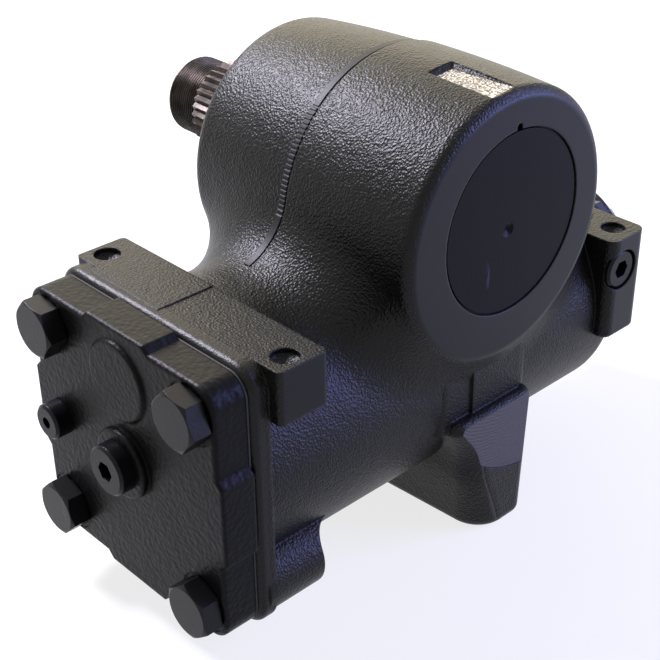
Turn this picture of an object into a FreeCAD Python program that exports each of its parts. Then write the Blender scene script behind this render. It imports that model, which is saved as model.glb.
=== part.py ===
import FreeCAD, Part
import math
import os
from FreeCAD import Vector

# Integral power steering gear: a ball screw drives a rack piston, and the rack turns a toothed sector shaft.
# Sizes are in millimetres. While it is built, the sector shaft's axis is the Y axis, the casting's parting
# plane is y = 0, +X runs along the piston from the end cover to the input shaft, and +Z is up.

# Layout
CENTRE_DISTANCE = 77.0
PISTON_Z = -CENTRE_DISTANCE
PISTON_AXIS = (0.0, PISTON_Z)
COVER_JOINT_X = -135.0
HOUSING_END_X = 97.3
FRONT_FACE_Y = -67.2
REAR_FACE_Y = 67.0
ARM_SEAT_Y = 113.5
RUNNING_CLEARANCE = 0.03
SEAT_CLEARANCE = 0.05
END_PLAY = 0.05
EDGE_CHAMFER = 1.2

# Rack and sector
RACK_PITCH = 23.56
PITCH_RADIUS = 33.0
PRESSURE_ANGLE = math.radians(28.0)
SIDE_TEETH = 1
SECTOR_ADDENDUM = 6.3
RACK_ADDENDUM = 3.7
TOOTH_CLEARANCE = 0.6
SECTOR_TOOTH_THICKNESS = 12.4
FLANK_CLEARANCE = 0.2
SECTOR_FACE_WIDTH = 48.0
FLANK_POINTS = 7

# Ball screw
BALL_RADIUS = 3.57
BALL_CIRCLE_RADIUS = 15.5
SCREW_LEAD = 11.0
GROOVE_CLEARANCE = 0.28
BALLS_PER_TURN = 10
CIRCUIT_START_X = -13.0
WORM_RADIUS = 14.2
NUT_RADIUS = 16.8
WORM_START_X = -62.0
WORM_THREAD_END_X = 36.0
WORM_SHANK_RADIUS = 11.4
WORM_HEAD_RADIUS = 21.8
WORM_HEAD_LENGTH = 6.0
THRUST_BEARING_LENGTH = 4.0
THRUST_BEARING_RADIUS = 20.5

# Rack piston
BORE_RADIUS = 50.0
PISTON_CLEARANCE = 0.05
PISTON_LEFT_X = -100.0
PISTON_RIGHT_X = 46.0
PISTON_BORE_RADIUS = 20.0
NUT_LEFT_X = -34.0
NUT_RIGHT_X = 20.0
NUT_END_WALL = 1.0
PISTON_PLUG_LENGTH = 8.0
PISTON_PLUG_RADIUS = 24.0
RING_INSET = 10.0
RING_WIDTH = 5.0
RING_DEPTH = 4.0
RACK_FLAT_LEFT_X = -68.0

# Chamber in the housing
CHAMBER_END_X = 76.0
CHAMBER_WALL = 4.0
CHAMBER_WALL_HOLE_RADIUS = 16.0

# Housing casting
BARREL_RADIUS = 60.0
SECTOR_BARREL_RADIUS = 60.9
FRONT_DRAFT = 2.4
REAR_DRAFT = 3.5
REAR_ROUND = 6.5
SECTOR_BARREL_OFFSET_X = -1.9
SECTOR_BARREL_OFFSET_Z = -3.0
BARREL_BLEND = 30.0
PARTING_STEP = 1.2
BARREL_STEP = 0.3
CAST_ROUND = 5.0
INPUT_END_ROUND = 14.0
SMALL_ROUND = 2.2
FLANGE_MARGIN = 2.2
FLANGE_CORNER_RADIUS = 11.0
RIM_ROUND = 3.2
FLANGE_THICKNESS = 9.5
BOSS_LENGTH = 33.6
BOSS_RADIUS = 16.6
BOSS_ROOT = 12.0
UPPER_BOSS_RADIUS = 15.0
PLATEAU_TOP = 61.2
PLATEAU_STEP = 0.5
PLATEAU_LENGTH = 32.2
PAD_FRONT_Y = -67.0
PAD_REAR_Y = 59.8
PAD_DEPTH = 23.0
PAD_SETBACK = 8.0
BLOCK_LENGTH = 24.0
BLOCK_TOP = 41.0
BLOCK_BOTTOM = -10.0
BLOCK_INNER_Y = -36.0
LUG_BOTTOM = -79.6
LUG_TOP = -11.5
LUG_FLARE_X = -34.0
LUG_SECTIONS = ((LUG_BOTTOM, -10.4, 17.0), (-68.0, -12.9, 15.4), (-57.0, -15.5, 13.7), (-46.0, -18.0, 12.0),
                (-34.0, -19.8, 10.5), (-24.0, -24.1, 9.3), (LUG_TOP, -32.8, 8.0))
LUG_TAPER = 0.06
LUG_RIGHT_X = 19.2
LUG_RIGHT_DRAFT = 0.05
LUG_REAR_Y = 46.0
LUG_CORNER = 6.5
LUG_ROUND = 6.0
LUG_TOP_ROUND = 4.0
CAST_ALLOWANCE = 0.8
MILL_RADIUS = 60.0
MILL_X = 24.3
MILL_Z = 10.0
WEB_SETBACK = 6.0
WEB_TOP = 40.0
PANEL_RISE = 1.2
PANEL_WIDTH = 31.0
PANEL_HEIGHT = 22.0
TOP_FLAT_WIDTH = 14.0
TOP_FLAT_FRONT_Y = -64.5
TOP_FLAT_LENGTH = 34.0
TOP_FLAT_TILT = -4.7
TOP_FLAT_DEPTH = 2.6
DRILL_SPOT_RADIUS = 5.7
DRILL_SPOT_DEPTH = 2.4
DRILL_SPOT_INSET = 8.0
DRILL_SPOT_X = -117.0
BLOCK_SPOT_INSET = 10.8
NOSE_LENGTH = 9.0
NOSE_RADIUS = 36.5

# End cover, gasket, screws and plugs
COVER_THICKNESS = 15.7
COVER_MARGIN = 8.7
COVER_CORNER_RADIUS = 9.5
COVER_ROUND = 2.0
GASKET_THICKNESS = 0.8
GASKET_MARGIN = 0.6
COVER_PAD_HALF_WIDTH = 18.0
COVER_PAD_RISE = 2.7
SEAT_RADIUS = 13.0
SEAT_DEPTH = 0.5
CENTRE_BOSS_RADIUS = 15.5
DISC_BOSS_RADIUS = 17.6
DISC_BOSS_HEIGHT = 38.0
BOSS_RISE = 3.4
DISC_BOSS_RISE = 1.5
BOSS_EDGE_ROUND = 1.4
SPIGOT_LENGTH = 5.0
SPIGOT_WALL = 6.0
COVER_BOLT_SPACING_Y = 90.6
COVER_BOLT_SPACING_Z = 89.5
COVER_BOLT_RADIUS = 7.0
COVER_BOLT_REACH = 24.0
COVER_BOLT_ACROSS_FLATS = 22.0
COVER_BOLT_HEAD_HEIGHT = 9.3
COVER_HEAD_TURNS = (22.0, 10.0, 15.0, 7.0)
BOLT_HOLE_CLEARANCE = 0.5
WASHER_FACE_HEIGHT = 0.6
WASHER_FACE_INSET = 0.4
HEAD_CHAMFER_INSET = 0.3
TIP_CHAMFER = 1.0
PLUG_RIM = 1.1
DRILL_POINT_ALLOWANCE = 3.0
CENTRE_PLUG_RADIUS = 11.0
CENTRE_PLUG_HEIGHT = 6.8
CENTRE_PLUG_SHANK_RADIUS = 8.0
CENTRE_PLUG_SOCKET = 8.0
BLEED_PLUG_Y = 45.0
BLEED_PLUG_RADIUS = 7.9
BLEED_PLUG_HEIGHT = 7.9
BLEED_SHANK_RADIUS = 5.0
BLEED_HOLE_RADIUS = 2.6
BLOCK_PLUG_INSET = 15.8
BLOCK_PLUG_HEIGHT = 25.0
BLOCK_PLUG_RADIUS = 9.4
BLOCK_PLUG_RECESS = 3.0
BLOCK_PLUG_THICKNESS = 2.4
BLOCK_PLUG_SHANK_RADIUS = 6.5
BLOCK_PLUG_REACH = 13.0
BLOCK_PLUG_SOCKET = 8.0

# Sector shaft, its cover, bearings and seals
JOURNAL_RADIUS = 25.0
BEARING_RADIUS = 31.0
BEARING_LENGTH = 21.0
REAR_BEARING_Y = 28.0
REAR_BEARING_LENGTH = 30.0
SIDE_BORE_RADIUS = 40.3
SIDE_COVER_THICKNESS = 14.0
SIDE_COVER_RECESS = 0.4
SIDE_HUB_WALL = 4.0
SIDE_HUB_REACH = 23.8
SNAP_RING_Y = 1.2
SNAP_RING_WIDTH = 2.5
SNAP_RING_DEPTH = 2.2
SNAP_RING_SHOWING = 0.9
SNAP_RING_GAP = 8.0
RING_NOTCH_RADIUS = 1.7
SIDE_SEAL_WIDTH = 4.2
SIDE_SEAL_DEPTH = 3.2
DIMPLE_RADIUS = 3.2
DIMPLE_X = -2.9
DIMPLE_Z = -2.3
SECTOR_FRONT_Y = -50.0
SEAL_WIDTH = 7.5
SEAL_WALL = 1.65
DUST_LIP = 3.0
OUTPUT_SEAL_LENGTH = 8.0
DUST_SEAL_LENGTH = 6.5
SHAFT_SHOULDER_Y = 78.5
SERRATION_COUNT = 36
SERRATION_END_RADIUS = 22.6
SERRATION_TAPER = 1.3
SERRATION_DEPTH = 1.6
THREAD_RADIUS = 18.5
THREAD_LENGTH = 23.8
CENTRE_DRILL_RADIUS = 4.0

# Valve at the input end
VALVE_FLANGE_MARGIN = 1.0
VALVE_FLANGE_THICKNESS = 9.0
VALVE_BODY_RADIUS = 29.0
VALVE_BODY_END_X = 136.0
VALVE_NOSE_RADIUS = 22.0
VALVE_NOSE_END_X = 142.0
VALVE_SPIGOT_RADIUS = 30.0
FACE_SEAL_WALL = 1.0
FACE_SEAL_WIDTH = 2.4
FACE_SEAL_DEPTH = 2.4
SLEEVE_RADIUS = 18.0
SLEEVE_LENGTH = 29.0
SLEEVE_GROOVE_DEPTH = 1.4
SLEEVE_GROOVE_WIDTH = 3.4
SPOOL_RADIUS = 12.0
SPOOL_SLOT_COUNT = 6
SPOOL_GROOVE_RADIUS = 1.6
INPUT_RADIUS = 11.6
INPUT_END_X = 158.3
INPUT_SERRATION_LENGTH = 13.0
INPUT_SERRATION_DEPTH = 0.7
TORSION_BAR_RADIUS = 3.6
TORSION_HEAD_RADIUS = 5.0
TORSION_HEAD_LENGTH = 8.0
TORSION_BAR_END_X = 146.0
INPUT_BEARING_RADIUS = 16.0
INPUT_BEARING_LENGTH = 6.0
INPUT_BEARING_GAP = 1.5
INPUT_SEAL_LENGTH = 4.5
DUST_CAP_RADIUS = 20.0
DUST_CAP_LENGTH = 3.0
VALVE_BOLT_RADIUS = 5.0
VALVE_BOLT_REACH = 14.0
VALVE_BOLT_ACROSS_FLATS = 16.0
VALVE_BOLT_HEAD_HEIGHT = 6.4
VALVE_HEAD_TURNS = (15.0, 45.0, 15.0, 45.0)
PORT_RADIUS = 8.25
PORT_SPACING = 30.0
PORT_DEPTH = 14.0
PORT_WALL = 3.0
PORT_FACE_Y = 44.0
PORT_PASSAGE_RADIUS = 3.0

# Bolt circle on the machined rear face
FRAME_BOLT_CIRCLE_RADIUS = 43.0
FRAME_BOLT_HOLE_RADIUS = 6.0
FRAME_BOLT_DEPTH = 24.0

# Places that follow from the sizes above
RACK_PITCH_LINE = CENTRE_DISTANCE - PITCH_RADIUS
RACK_TIP = RACK_PITCH_LINE + RACK_ADDENDUM
RACK_ROOT = RACK_PITCH_LINE - SECTOR_ADDENDUM - TOOTH_CLEARANCE
SECTOR_TIP_RADIUS = PITCH_RADIUS + SECTOR_ADDENDUM
SECTOR_ROOT_RADIUS = PITCH_RADIUS - RACK_ADDENDUM - TOOTH_CLEARANCE
BASE_RADIUS = PITCH_RADIUS * math.cos(PRESSURE_ANGLE)
GROOVE_RADIUS = BALL_RADIUS + GROOVE_CLEARANCE
PISTON_RADIUS = BORE_RADIUS - PISTON_CLEARANCE
COVER_HALF = BORE_RADIUS + COVER_MARGIN
FLANGE_HALF = COVER_HALF + FLANGE_MARGIN
SEAL_RADIUS = JOURNAL_RADIUS + SEAL_WIDTH
RING_X = PISTON_LEFT_X + RING_INSET
HEAD_CHAMBER_X = CHAMBER_END_X + CHAMBER_WALL
WORM_HEAD_X = HEAD_CHAMBER_X + THRUST_BEARING_LENGTH
WORM_HEAD_END_X = WORM_HEAD_X + WORM_HEAD_LENGTH
SPIGOT_START_X = WORM_HEAD_END_X + THRUST_BEARING_LENGTH
VALVE_BORE_RADIUS = SLEEVE_RADIUS + SEAT_CLEARANCE
FACE_SEAL_RADIUS = VALVE_SPIGOT_RADIUS + FACE_SEAL_WALL
FACE_SEAL_OUTER_RADIUS = FACE_SEAL_RADIUS + FACE_SEAL_WIDTH
VALVE_BOLT_CIRCLE_RADIUS = FACE_SEAL_OUTER_RADIUS + FACE_SEAL_WALL + BOLT_HOLE_CLEARANCE + VALVE_BOLT_RADIUS
VALVE_FLANGE_RADIUS = VALVE_BOLT_CIRCLE_RADIUS + VALVE_BOLT_ACROSS_FLATS / math.sqrt(3) + VALVE_FLANGE_MARGIN
SLEEVE_START_X = HOUSING_END_X
SLEEVE_END_X = SLEEVE_START_X + SLEEVE_LENGTH
VALVE_SEAT_X = HOUSING_END_X + VALVE_FLANGE_THICKNESS
INPUT_SEAL_END_X = SLEEVE_END_X + INPUT_BEARING_GAP + INPUT_BEARING_LENGTH + INPUT_SEAL_LENGTH
PORT_X = VALVE_BODY_END_X - PORT_WALL - PORT_RADIUS
COVER_INNER_X = COVER_JOINT_X - GASKET_THICKNESS
COVER_OUTER_X = COVER_INNER_X - COVER_THICKNESS
COVER_SEAT_X = COVER_OUTER_X + SEAT_DEPTH
COVER_BOSS_X = COVER_OUTER_X - BOSS_RISE
BOSS_END_X = COVER_JOINT_X + BOSS_LENGTH
PLATEAU_END_X = COVER_JOINT_X + PLATEAU_LENGTH
BLOCK_START_X = HOUSING_END_X - BLOCK_LENGTH
BLOCK_PLUG_PLACE = (HOUSING_END_X - BLOCK_PLUG_INSET, PISTON_Z + BLOCK_PLUG_HEIGHT)
SIDE_COVER_Y = FRONT_FACE_Y + SIDE_COVER_RECESS
SIDE_COVER_BACK_Y = SIDE_COVER_Y + SIDE_COVER_THICKNESS
SNAP_RING_START_Y = FRONT_FACE_Y + SNAP_RING_Y
SIDE_BORE_END_Y = REAR_BEARING_Y - 1.0
REAR_BEARING_END_Y = REAR_BEARING_Y + REAR_BEARING_LENGTH
SEAL_START_Y = REAR_BEARING_END_Y + 1.0
NOSE_END_Y = REAR_FACE_Y + NOSE_LENGTH
THREAD_END_Y = ARM_SEAT_Y + THREAD_LENGTH

WAYS = {"x": Vector(1, 0, 0), "y": Vector(0, 1, 0), "z": Vector(0, 0, 1)}
REACH = 400.0


def point(axis, along, centre=(0.0, 0.0)):
    """A point at a distance along X, Y or Z, with the other two coordinates in that order."""
    values = list(centre)
    values.insert("xyz".index(axis), along)
    return Vector(*values)


def rod(axis, start, end, radius, centre=(0.0, 0.0)):
    return Part.makeCylinder(radius, end - start, point(axis, start, centre), WAYS[axis])


def tube(axis, start, end, outer, inner, centre=(0.0, 0.0)):
    return rod(axis, start, end, outer, centre).cut(rod(axis, start - 1, end + 1, inner, centre))


def box(low, high):
    size = Vector(*high) - Vector(*low)
    return Part.makeBox(size.x, size.y, size.z, Vector(*low))


def prism(axis, outline, start, end):
    """A closed outline of points in the plane across an axis, carried from start to end."""
    corners = [point(axis, start, corner) for corner in outline]
    face = Part.Face(Part.makePolygon(corners + corners[:1]))
    return face.extrude(WAYS[axis] * (end - start))


def turned(axis, outline, centre=(0.0, 0.0)):
    """Turns an outline of (distance along the axis, radius) about the axis."""
    corners = [point(axis, along, (centre[0], centre[1] + radius)) for along, radius in outline]
    face = Part.Face(Part.makePolygon(corners + corners[:1]))
    return face.revolve(point(axis, 0.0, centre), WAYS[axis], 360)


def edges_at(shape, axis, along):
    """The edges of a shape that lie in one plane across an axis."""
    found = []
    for edge in shape.Edges:
        bounds = edge.BoundBox
        low = {"x": bounds.XMin, "y": bounds.YMin, "z": bounds.ZMin}[axis]
        high = {"x": bounds.XMax, "y": bounds.YMax, "z": bounds.ZMax}[axis]
        if abs(low - along) < 0.01 and abs(high - along) < 0.01:
            found.append(edge)
    return found


def upright_edges_at(shape, axis, along):
    return [edge for edge in edges_at(shape, axis, along) if edge.BoundBox.ZLength > 1]


def rounded_square(axis, start, end, half, corner_radius, centre):
    """A square plate across an axis, with its four long edges rounded."""
    a, b = centre
    outline = [(a - half, b - half), (a + half, b - half), (a + half, b + half), (a - half, b + half)]
    plate = prism(axis, outline, start, end)
    way = WAYS[axis]
    long_edges = [edge for edge in plate.Edges
                  if abs(abs(edge.tangentAt(edge.FirstParameter).dot(way)) - 1) < 1e-6]
    return plate.makeFillet(corner_radius, long_edges)


def hex_prism(axis, start, end, across_flats, centre, turn_degrees=0.0):
    corner = across_flats / math.sqrt(3)
    angles = [math.radians(turn_degrees + 60 * k) for k in range(6)]
    outline = [(centre[0] + corner * math.cos(a), centre[1] + corner * math.sin(a)) for a in angles]
    return prism(axis, outline, start, end)


def circle_places(count, radius, start_degrees=0.0):
    """Points evenly spaced on a circle."""
    angles = [math.radians(start_degrees + 360.0 * k / count) for k in range(count)]
    return [(radius * math.cos(a), radius * math.sin(a)) for a in angles]


def cover_bolt_places():
    """Centres of the four cover bolts, as (y, z)."""
    return [(side * COVER_BOLT_SPACING_Y / 2, PISTON_Z + level * COVER_BOLT_SPACING_Z / 2)
            for side in (-1, 1) for level in (-1, 1)]


def valve_bolt_places():
    return [(y, PISTON_Z + z) for y, z in circle_places(4, VALVE_BOLT_CIRCLE_RADIUS, 45.0)]


def screw_groove(start_x, end_x):
    """The helical ball groove, whose place depends on x alone, so that screw and nut share it."""
    helix = Part.makeHelix(SCREW_LEAD, end_x - start_x, BALL_CIRCLE_RADIUS)
    along = Vector(0, BALL_CIRCLE_RADIUS, SCREW_LEAD / (2 * math.pi))
    section = Part.Wire(Part.makeCircle(GROOVE_RADIUS, Vector(BALL_CIRCLE_RADIUS, 0, 0), along))
    sweep = Part.BRepOffsetAPI.MakePipeShell(Part.Wire(helix))
    sweep.setFrenetMode(True)
    sweep.add(section)
    sweep.build()
    sweep.makeSolid()
    groove = sweep.shape()
    groove.rotate(Vector(0, 0, 0), WAYS["y"], 90)
    groove.rotate(Vector(0, 0, 0), WAYS["x"], 90 + 360.0 * start_x / SCREW_LEAD)
    groove.translate(Vector(start_x, 0, PISTON_Z))
    return groove


# The housing casting

def sector_barrel(growth):
    """The crowned barrel round the sector shaft, with drafted sides and rounded ends."""
    centre = (SECTOR_BARREL_OFFSET_X, SECTOR_BARREL_OFFSET_Z)
    def spot(y, radius):
        return Vector(centre[0], y, centre[1] + radius)
    crown_radius = SECTOR_BARREL_RADIUS + growth
    front = spot(FRONT_FACE_Y, crown_radius - FRONT_DRAFT)
    rear = spot(REAR_FACE_Y, crown_radius - REAR_DRAFT)
    foot_front, foot_rear = spot(FRONT_FACE_Y, 0.0), spot(REAR_FACE_Y, 0.0)
    outline = Part.Wire([Part.Arc(front, spot(0.0, crown_radius), rear).toShape(),
                         Part.LineSegment(rear, foot_rear).toShape(),
                         Part.LineSegment(foot_rear, foot_front).toShape(),
                         Part.LineSegment(foot_front, front).toShape()])
    barrel = Part.Face(outline).revolve(foot_front, WAYS["y"], 360)
    for y, radius in ((FRONT_FACE_Y, CAST_ROUND), (REAR_FACE_Y, REAR_ROUND)):
        barrel = barrel.makeFillet(radius, edges_at(barrel, "y", y))
    return barrel


def crossed_barrels(growth, barrel_growth):
    """The piston's barrel and the sector's barrel, with the blend where they meet."""
    piston_barrel = rod("x", COVER_JOINT_X + FLANGE_THICKNESS / 2, HOUSING_END_X, BARREL_RADIUS + barrel_growth,
                        PISTON_AXIS)
    piston_barrel = piston_barrel.makeFillet(INPUT_END_ROUND, edges_at(piston_barrel, "x", HOUSING_END_X))
    body = piston_barrel.fuse(sector_barrel(growth)).removeSplitter()
    meeting = [edge for edge in body.Edges
               if isinstance(edge.Curve, Part.BSplineCurve) and edge.BoundBox.YLength > CAST_ROUND]
    return body.makeFillet(BARREL_BLEND, meeting)


def casting_body():
    """Both mould halves: the front one is a little larger, which leaves the step at the parting line."""
    front = crossed_barrels(PARTING_STEP, BARREL_STEP).common(box((-REACH, -REACH, -REACH), (REACH, 0.0, REACH)))
    rear = crossed_barrels(0.0, 0.0).common(box((-REACH, 0.0, -REACH), (REACH, REACH, REACH)))
    return front.fuse(rear)


def screw_boss(place):
    """A cast boss for a cover screw; the two lower ones stand free and blend into the piston's barrel."""
    inside_plate = COVER_JOINT_X + FLANGE_THICKNESS / 2
    if place[1] > PISTON_Z:
        return rod("x", inside_plate, PLATEAU_END_X, UPPER_BOSS_RADIUS, place)
    barrel = rod("x", inside_plate, BOSS_END_X + 2 * BOSS_ROOT, BARREL_RADIUS, PISTON_AXIS)
    body = barrel.fuse(rod("x", inside_plate, BOSS_END_X, BOSS_RADIUS, place))
    root = [edge for edge in edges_at(body, "x", BOSS_END_X) if abs(edge.Curve.Radius - BARREL_RADIUS) < 0.1]
    return body.makeFillet(BOSS_ROOT, root)


def flange_end():
    """The square flange, the four screw bosses behind it and the flat-topped pads beside them."""
    plate_end = COVER_JOINT_X + FLANGE_THICKNESS
    inside_plate = COVER_JOINT_X + FLANGE_THICKNESS / 2
    plate = rounded_square("x", COVER_JOINT_X, plate_end, FLANGE_HALF, FLANGE_CORNER_RADIUS, PISTON_AXIS)
    plate = plate.makeFillet(RIM_ROUND, edges_at(plate, "x", COVER_JOINT_X))
    plate = plate.makeFillet(SMALL_ROUND, edges_at(plate, "x", plate_end))
    bosses = [screw_boss(place) for place in cover_bolt_places()]
    half_y = COVER_BOLT_SPACING_Y / 2
    plateau_bottom = PISTON_Z + BARREL_RADIUS / 2
    rear_top = PISTON_Z + PLATEAU_TOP
    front_top = rear_top - PLATEAU_STEP
    plateau = [box((inside_plate, -half_y, plateau_bottom), (PLATEAU_END_X, 0.0, front_top)),
               box((inside_plate, 0.0, plateau_bottom), (PLATEAU_END_X, half_y, rear_top))]
    floor = PISTON_Z - COVER_BOLT_SPACING_Z / 2 - BOSS_RADIUS
    web_below = box((inside_plate, -half_y, floor), (BOSS_END_X, half_y, PISTON_Z - BARREL_RADIUS / 2))
    pads = []
    for outer_y, top in ((PAD_FRONT_Y, front_top), (PAD_REAR_Y, rear_top)):
        inner_y = math.copysign(half_y, outer_y)
        low_y, high_y = sorted((outer_y, inner_y))
        pad = box((COVER_JOINT_X + PAD_SETBACK, low_y, top - PAD_DEPTH), (PLATEAU_END_X, high_y, top))
        pads.append(pad.makeFillet(SMALL_ROUND, upright_edges_at(pad, "y", outer_y)))
    return [plate, web_below] + plateau + bosses + pads


def input_block():
    """The squared block at the input end, with a machined front face."""
    block = box((BLOCK_START_X, PAD_FRONT_Y, PISTON_Z + BLOCK_BOTTOM),
                (HOUSING_END_X, BLOCK_INNER_Y, PISTON_Z + BLOCK_TOP))
    block = block.makeFillet(CAST_ROUND, upright_edges_at(block, "y", PAD_FRONT_Y))
    lowest = [edge for edge in edges_at(block, "z", PISTON_Z + BLOCK_BOTTOM) if edge.BoundBox.YLength < 1]
    return block.makeFillet(SMALL_ROUND, lowest)


def lug_section(height, left_x, corner_radius):
    """The lug seen from above at one height: a tapered left side, a round front left corner and a straight right."""
    z = PISTON_Z + height
    front_y = PAD_FRONT_Y - CAST_ALLOWANCE
    drop = height - LUG_BOTTOM
    right_x = LUG_RIGHT_X + LUG_RIGHT_DRAFT * drop
    rear_y = LUG_REAR_Y + LUG_RIGHT_DRAFT * drop
    def corner(x, way, radius):
        """The start, middle and end of a rounded front corner, from the side towards the front."""
        turn = radius * (1 - math.sqrt(0.5))
        return (Vector(x, front_y + radius, z), Vector(x + way * turn, front_y + turn, z),
                Vector(x + way * radius, front_y, z))
    left = corner(left_x, 1, corner_radius)
    right = corner(right_x, -1, LUG_CORNER)
    rear_left = Vector(left_x - LUG_TAPER * (rear_y - left[0].y), rear_y, z)
    rear_right = Vector(right_x, rear_y, z)
    return Part.Wire([Part.LineSegment(rear_left, left[0]).toShape(), Part.Arc(*left).toShape(),
                      Part.LineSegment(left[2], right[2]).toShape(), Part.Arc(*reversed(right)).toShape(),
                      Part.LineSegment(right[0], rear_right).toShape(),
                      Part.LineSegment(rear_right, rear_left).toShape()])


def foot_lug():
    """The tapered lug under the sector barrel, with a round spot milled flat on its front end."""
    lug = Part.makeLoft([lug_section(*section) for section in LUG_SECTIONS], True, False)
    lug = lug.makeFillet(LUG_ROUND, edges_at(lug, "z", PISTON_Z + LUG_BOTTOM))
    front_y = PAD_FRONT_Y - CAST_ALLOWANCE
    top_front = [edge for edge in edges_at(lug, "z", PISTON_Z + LUG_TOP) if edge.BoundBox.YMax < front_y + 0.01]
    lug = lug.makeFillet(LUG_TOP_ROUND, top_front)
    return lug.cut(rod("y", front_y - 1, PAD_FRONT_Y, MILL_RADIUS, (MILL_X, PISTON_Z + MILL_Z)))


def front_web():
    """The flat wall between the sector barrel's face and the lug, with a plain raised panel on it."""
    face_y = PAD_FRONT_Y + WEB_SETBACK
    right_x = LUG_RIGHT_X + CAST_ROUND
    web = box((LUG_FLARE_X, face_y, PISTON_Z + LUG_TOP - CAST_ROUND), (right_x, BLOCK_INNER_Y, PISTON_Z + WEB_TOP))
    web = web.makeFillet(CAST_ROUND, upright_edges_at(web, "y", face_y))
    panel = box((LUG_RIGHT_X - SMALL_ROUND - PANEL_WIDTH, face_y - PANEL_RISE, PISTON_Z + LUG_TOP),
                (LUG_RIGHT_X - SMALL_ROUND, face_y + PANEL_RISE, PISTON_Z + LUG_TOP + PANEL_HEIGHT))
    return [web, panel]


def top_flat():
    """The space above the small flat that is milled into the top of the sector barrel."""
    centre_x, centre_z = SECTOR_BARREL_OFFSET_X, SECTOR_BARREL_OFFSET_Z
    floor = centre_z + SECTOR_BARREL_RADIUS + PARTING_STEP - TOP_FLAT_DEPTH
    space = box((centre_x - TOP_FLAT_WIDTH / 2, TOP_FLAT_FRONT_Y, floor),
                (centre_x + TOP_FLAT_WIDTH / 2, TOP_FLAT_FRONT_Y + TOP_FLAT_LENGTH, floor + 2 * CAST_ROUND))
    space.rotate(Vector(centre_x, 0, centre_z), WAYS["y"], TOP_FLAT_TILT)
    return space


def drill_spot(x, y, top):
    """A shallow drilled spot with a conical bottom, open upwards."""
    floor = top - DRILL_SPOT_DEPTH
    tip = DRILL_SPOT_RADIUS / 2
    outline = [(floor - tip, 0.0), (floor, DRILL_SPOT_RADIUS), (top + 1, DRILL_SPOT_RADIUS), (top + 1, 0.0)]
    corners = [Vector(x + radius, y, z) for z, radius in outline]
    face = Part.Face(Part.makePolygon(corners + corners[:1]))
    return face.revolve(Vector(x, y, 0), WAYS["z"], 360)


def housing_bores():
    """Everything that is machined out of the casting."""
    outside_x = HOUSING_END_X + 1
    piston_chamber = rod("x", COVER_JOINT_X - 1, CHAMBER_END_X, BORE_RADIUS, PISTON_AXIS)
    wall_hole = rod("x", CHAMBER_END_X - 1, HEAD_CHAMBER_X + 1, CHAMBER_WALL_HOLE_RADIUS, PISTON_AXIS)
    head_chamber = rod("x", HEAD_CHAMBER_X, outside_x, WORM_HEAD_RADIUS + BOLT_HOLE_CLEARANCE, PISTON_AXIS)
    spigot_seat = rod("x", SPIGOT_START_X - BOLT_HOLE_CLEARANCE, outside_x, VALVE_SPIGOT_RADIUS + SEAT_CLEARANCE,
                      PISTON_AXIS)
    side_bore = rod("y", FRONT_FACE_Y - 1, SIDE_BORE_END_Y, SIDE_BORE_RADIUS)
    ring_groove = rod("y", SNAP_RING_START_Y, SNAP_RING_START_Y + SNAP_RING_WIDTH + SEAT_CLEARANCE,
                      SIDE_BORE_RADIUS + SNAP_RING_DEPTH)
    ring_notch = rod("y", FRONT_FACE_Y - 1, SNAP_RING_START_Y + SNAP_RING_WIDTH, RING_NOTCH_RADIUS,
                     (0.0, SIDE_BORE_RADIUS + RING_NOTCH_RADIUS / 2))
    bearing_bore = rod("y", SIDE_BORE_END_Y - 1, SEAL_START_Y + 1, BEARING_RADIUS)
    seal_bore = rod("y", SEAL_START_Y, NOSE_END_Y + 1, SEAL_RADIUS)
    return [piston_chamber, wall_hole, head_chamber, spigot_seat, side_bore, ring_groove, ring_notch,
            bearing_bore, seal_bore]


def housing_holes():
    """Tapped holes, drilled spots and the recess of the block's plug."""
    holes = []
    for place in cover_bolt_places():
        depth = COVER_JOINT_X + COVER_BOLT_REACH + DRILL_POINT_ALLOWANCE
        holes.append(rod("x", COVER_JOINT_X - 1, depth, COVER_BOLT_RADIUS + SEAT_CLEARANCE, place))
    for place in valve_bolt_places():
        depth = HOUSING_END_X - VALVE_BOLT_REACH - DRILL_POINT_ALLOWANCE
        holes.append(rod("x", depth, HOUSING_END_X + 1, VALVE_BOLT_RADIUS + SEAT_CLEARANCE, place))
    for place in circle_places(4, FRAME_BOLT_CIRCLE_RADIUS, 45.0):
        holes.append(rod("y", REAR_FACE_Y - FRAME_BOLT_DEPTH, REAR_FACE_Y + 1, FRAME_BOLT_HOLE_RADIUS, place))
    plateau_top = PISTON_Z + PLATEAU_TOP
    holes.append(drill_spot(DRILL_SPOT_X, PAD_FRONT_Y + DRILL_SPOT_INSET, plateau_top - PLATEAU_STEP))
    holes.append(drill_spot(DRILL_SPOT_X, PAD_REAR_Y - DRILL_SPOT_INSET, plateau_top))
    holes.append(drill_spot(HOUSING_END_X - BLOCK_SPOT_INSET, PAD_FRONT_Y + BLOCK_SPOT_INSET,
                            PISTON_Z + BLOCK_TOP))
    recess_end = PAD_FRONT_Y + BLOCK_PLUG_RECESS
    holes.append(rod("y", PAD_FRONT_Y - 1, recess_end, BLOCK_PLUG_RADIUS + BOLT_HOLE_CLEARANCE, BLOCK_PLUG_PLACE))
    plug_end = recess_end + BLOCK_PLUG_REACH + DRILL_POINT_ALLOWANCE
    holes.append(rod("y", PAD_FRONT_Y - 1, plug_end, BLOCK_PLUG_SHANK_RADIUS + SEAT_CLEARANCE, BLOCK_PLUG_PLACE))
    return holes


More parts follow.
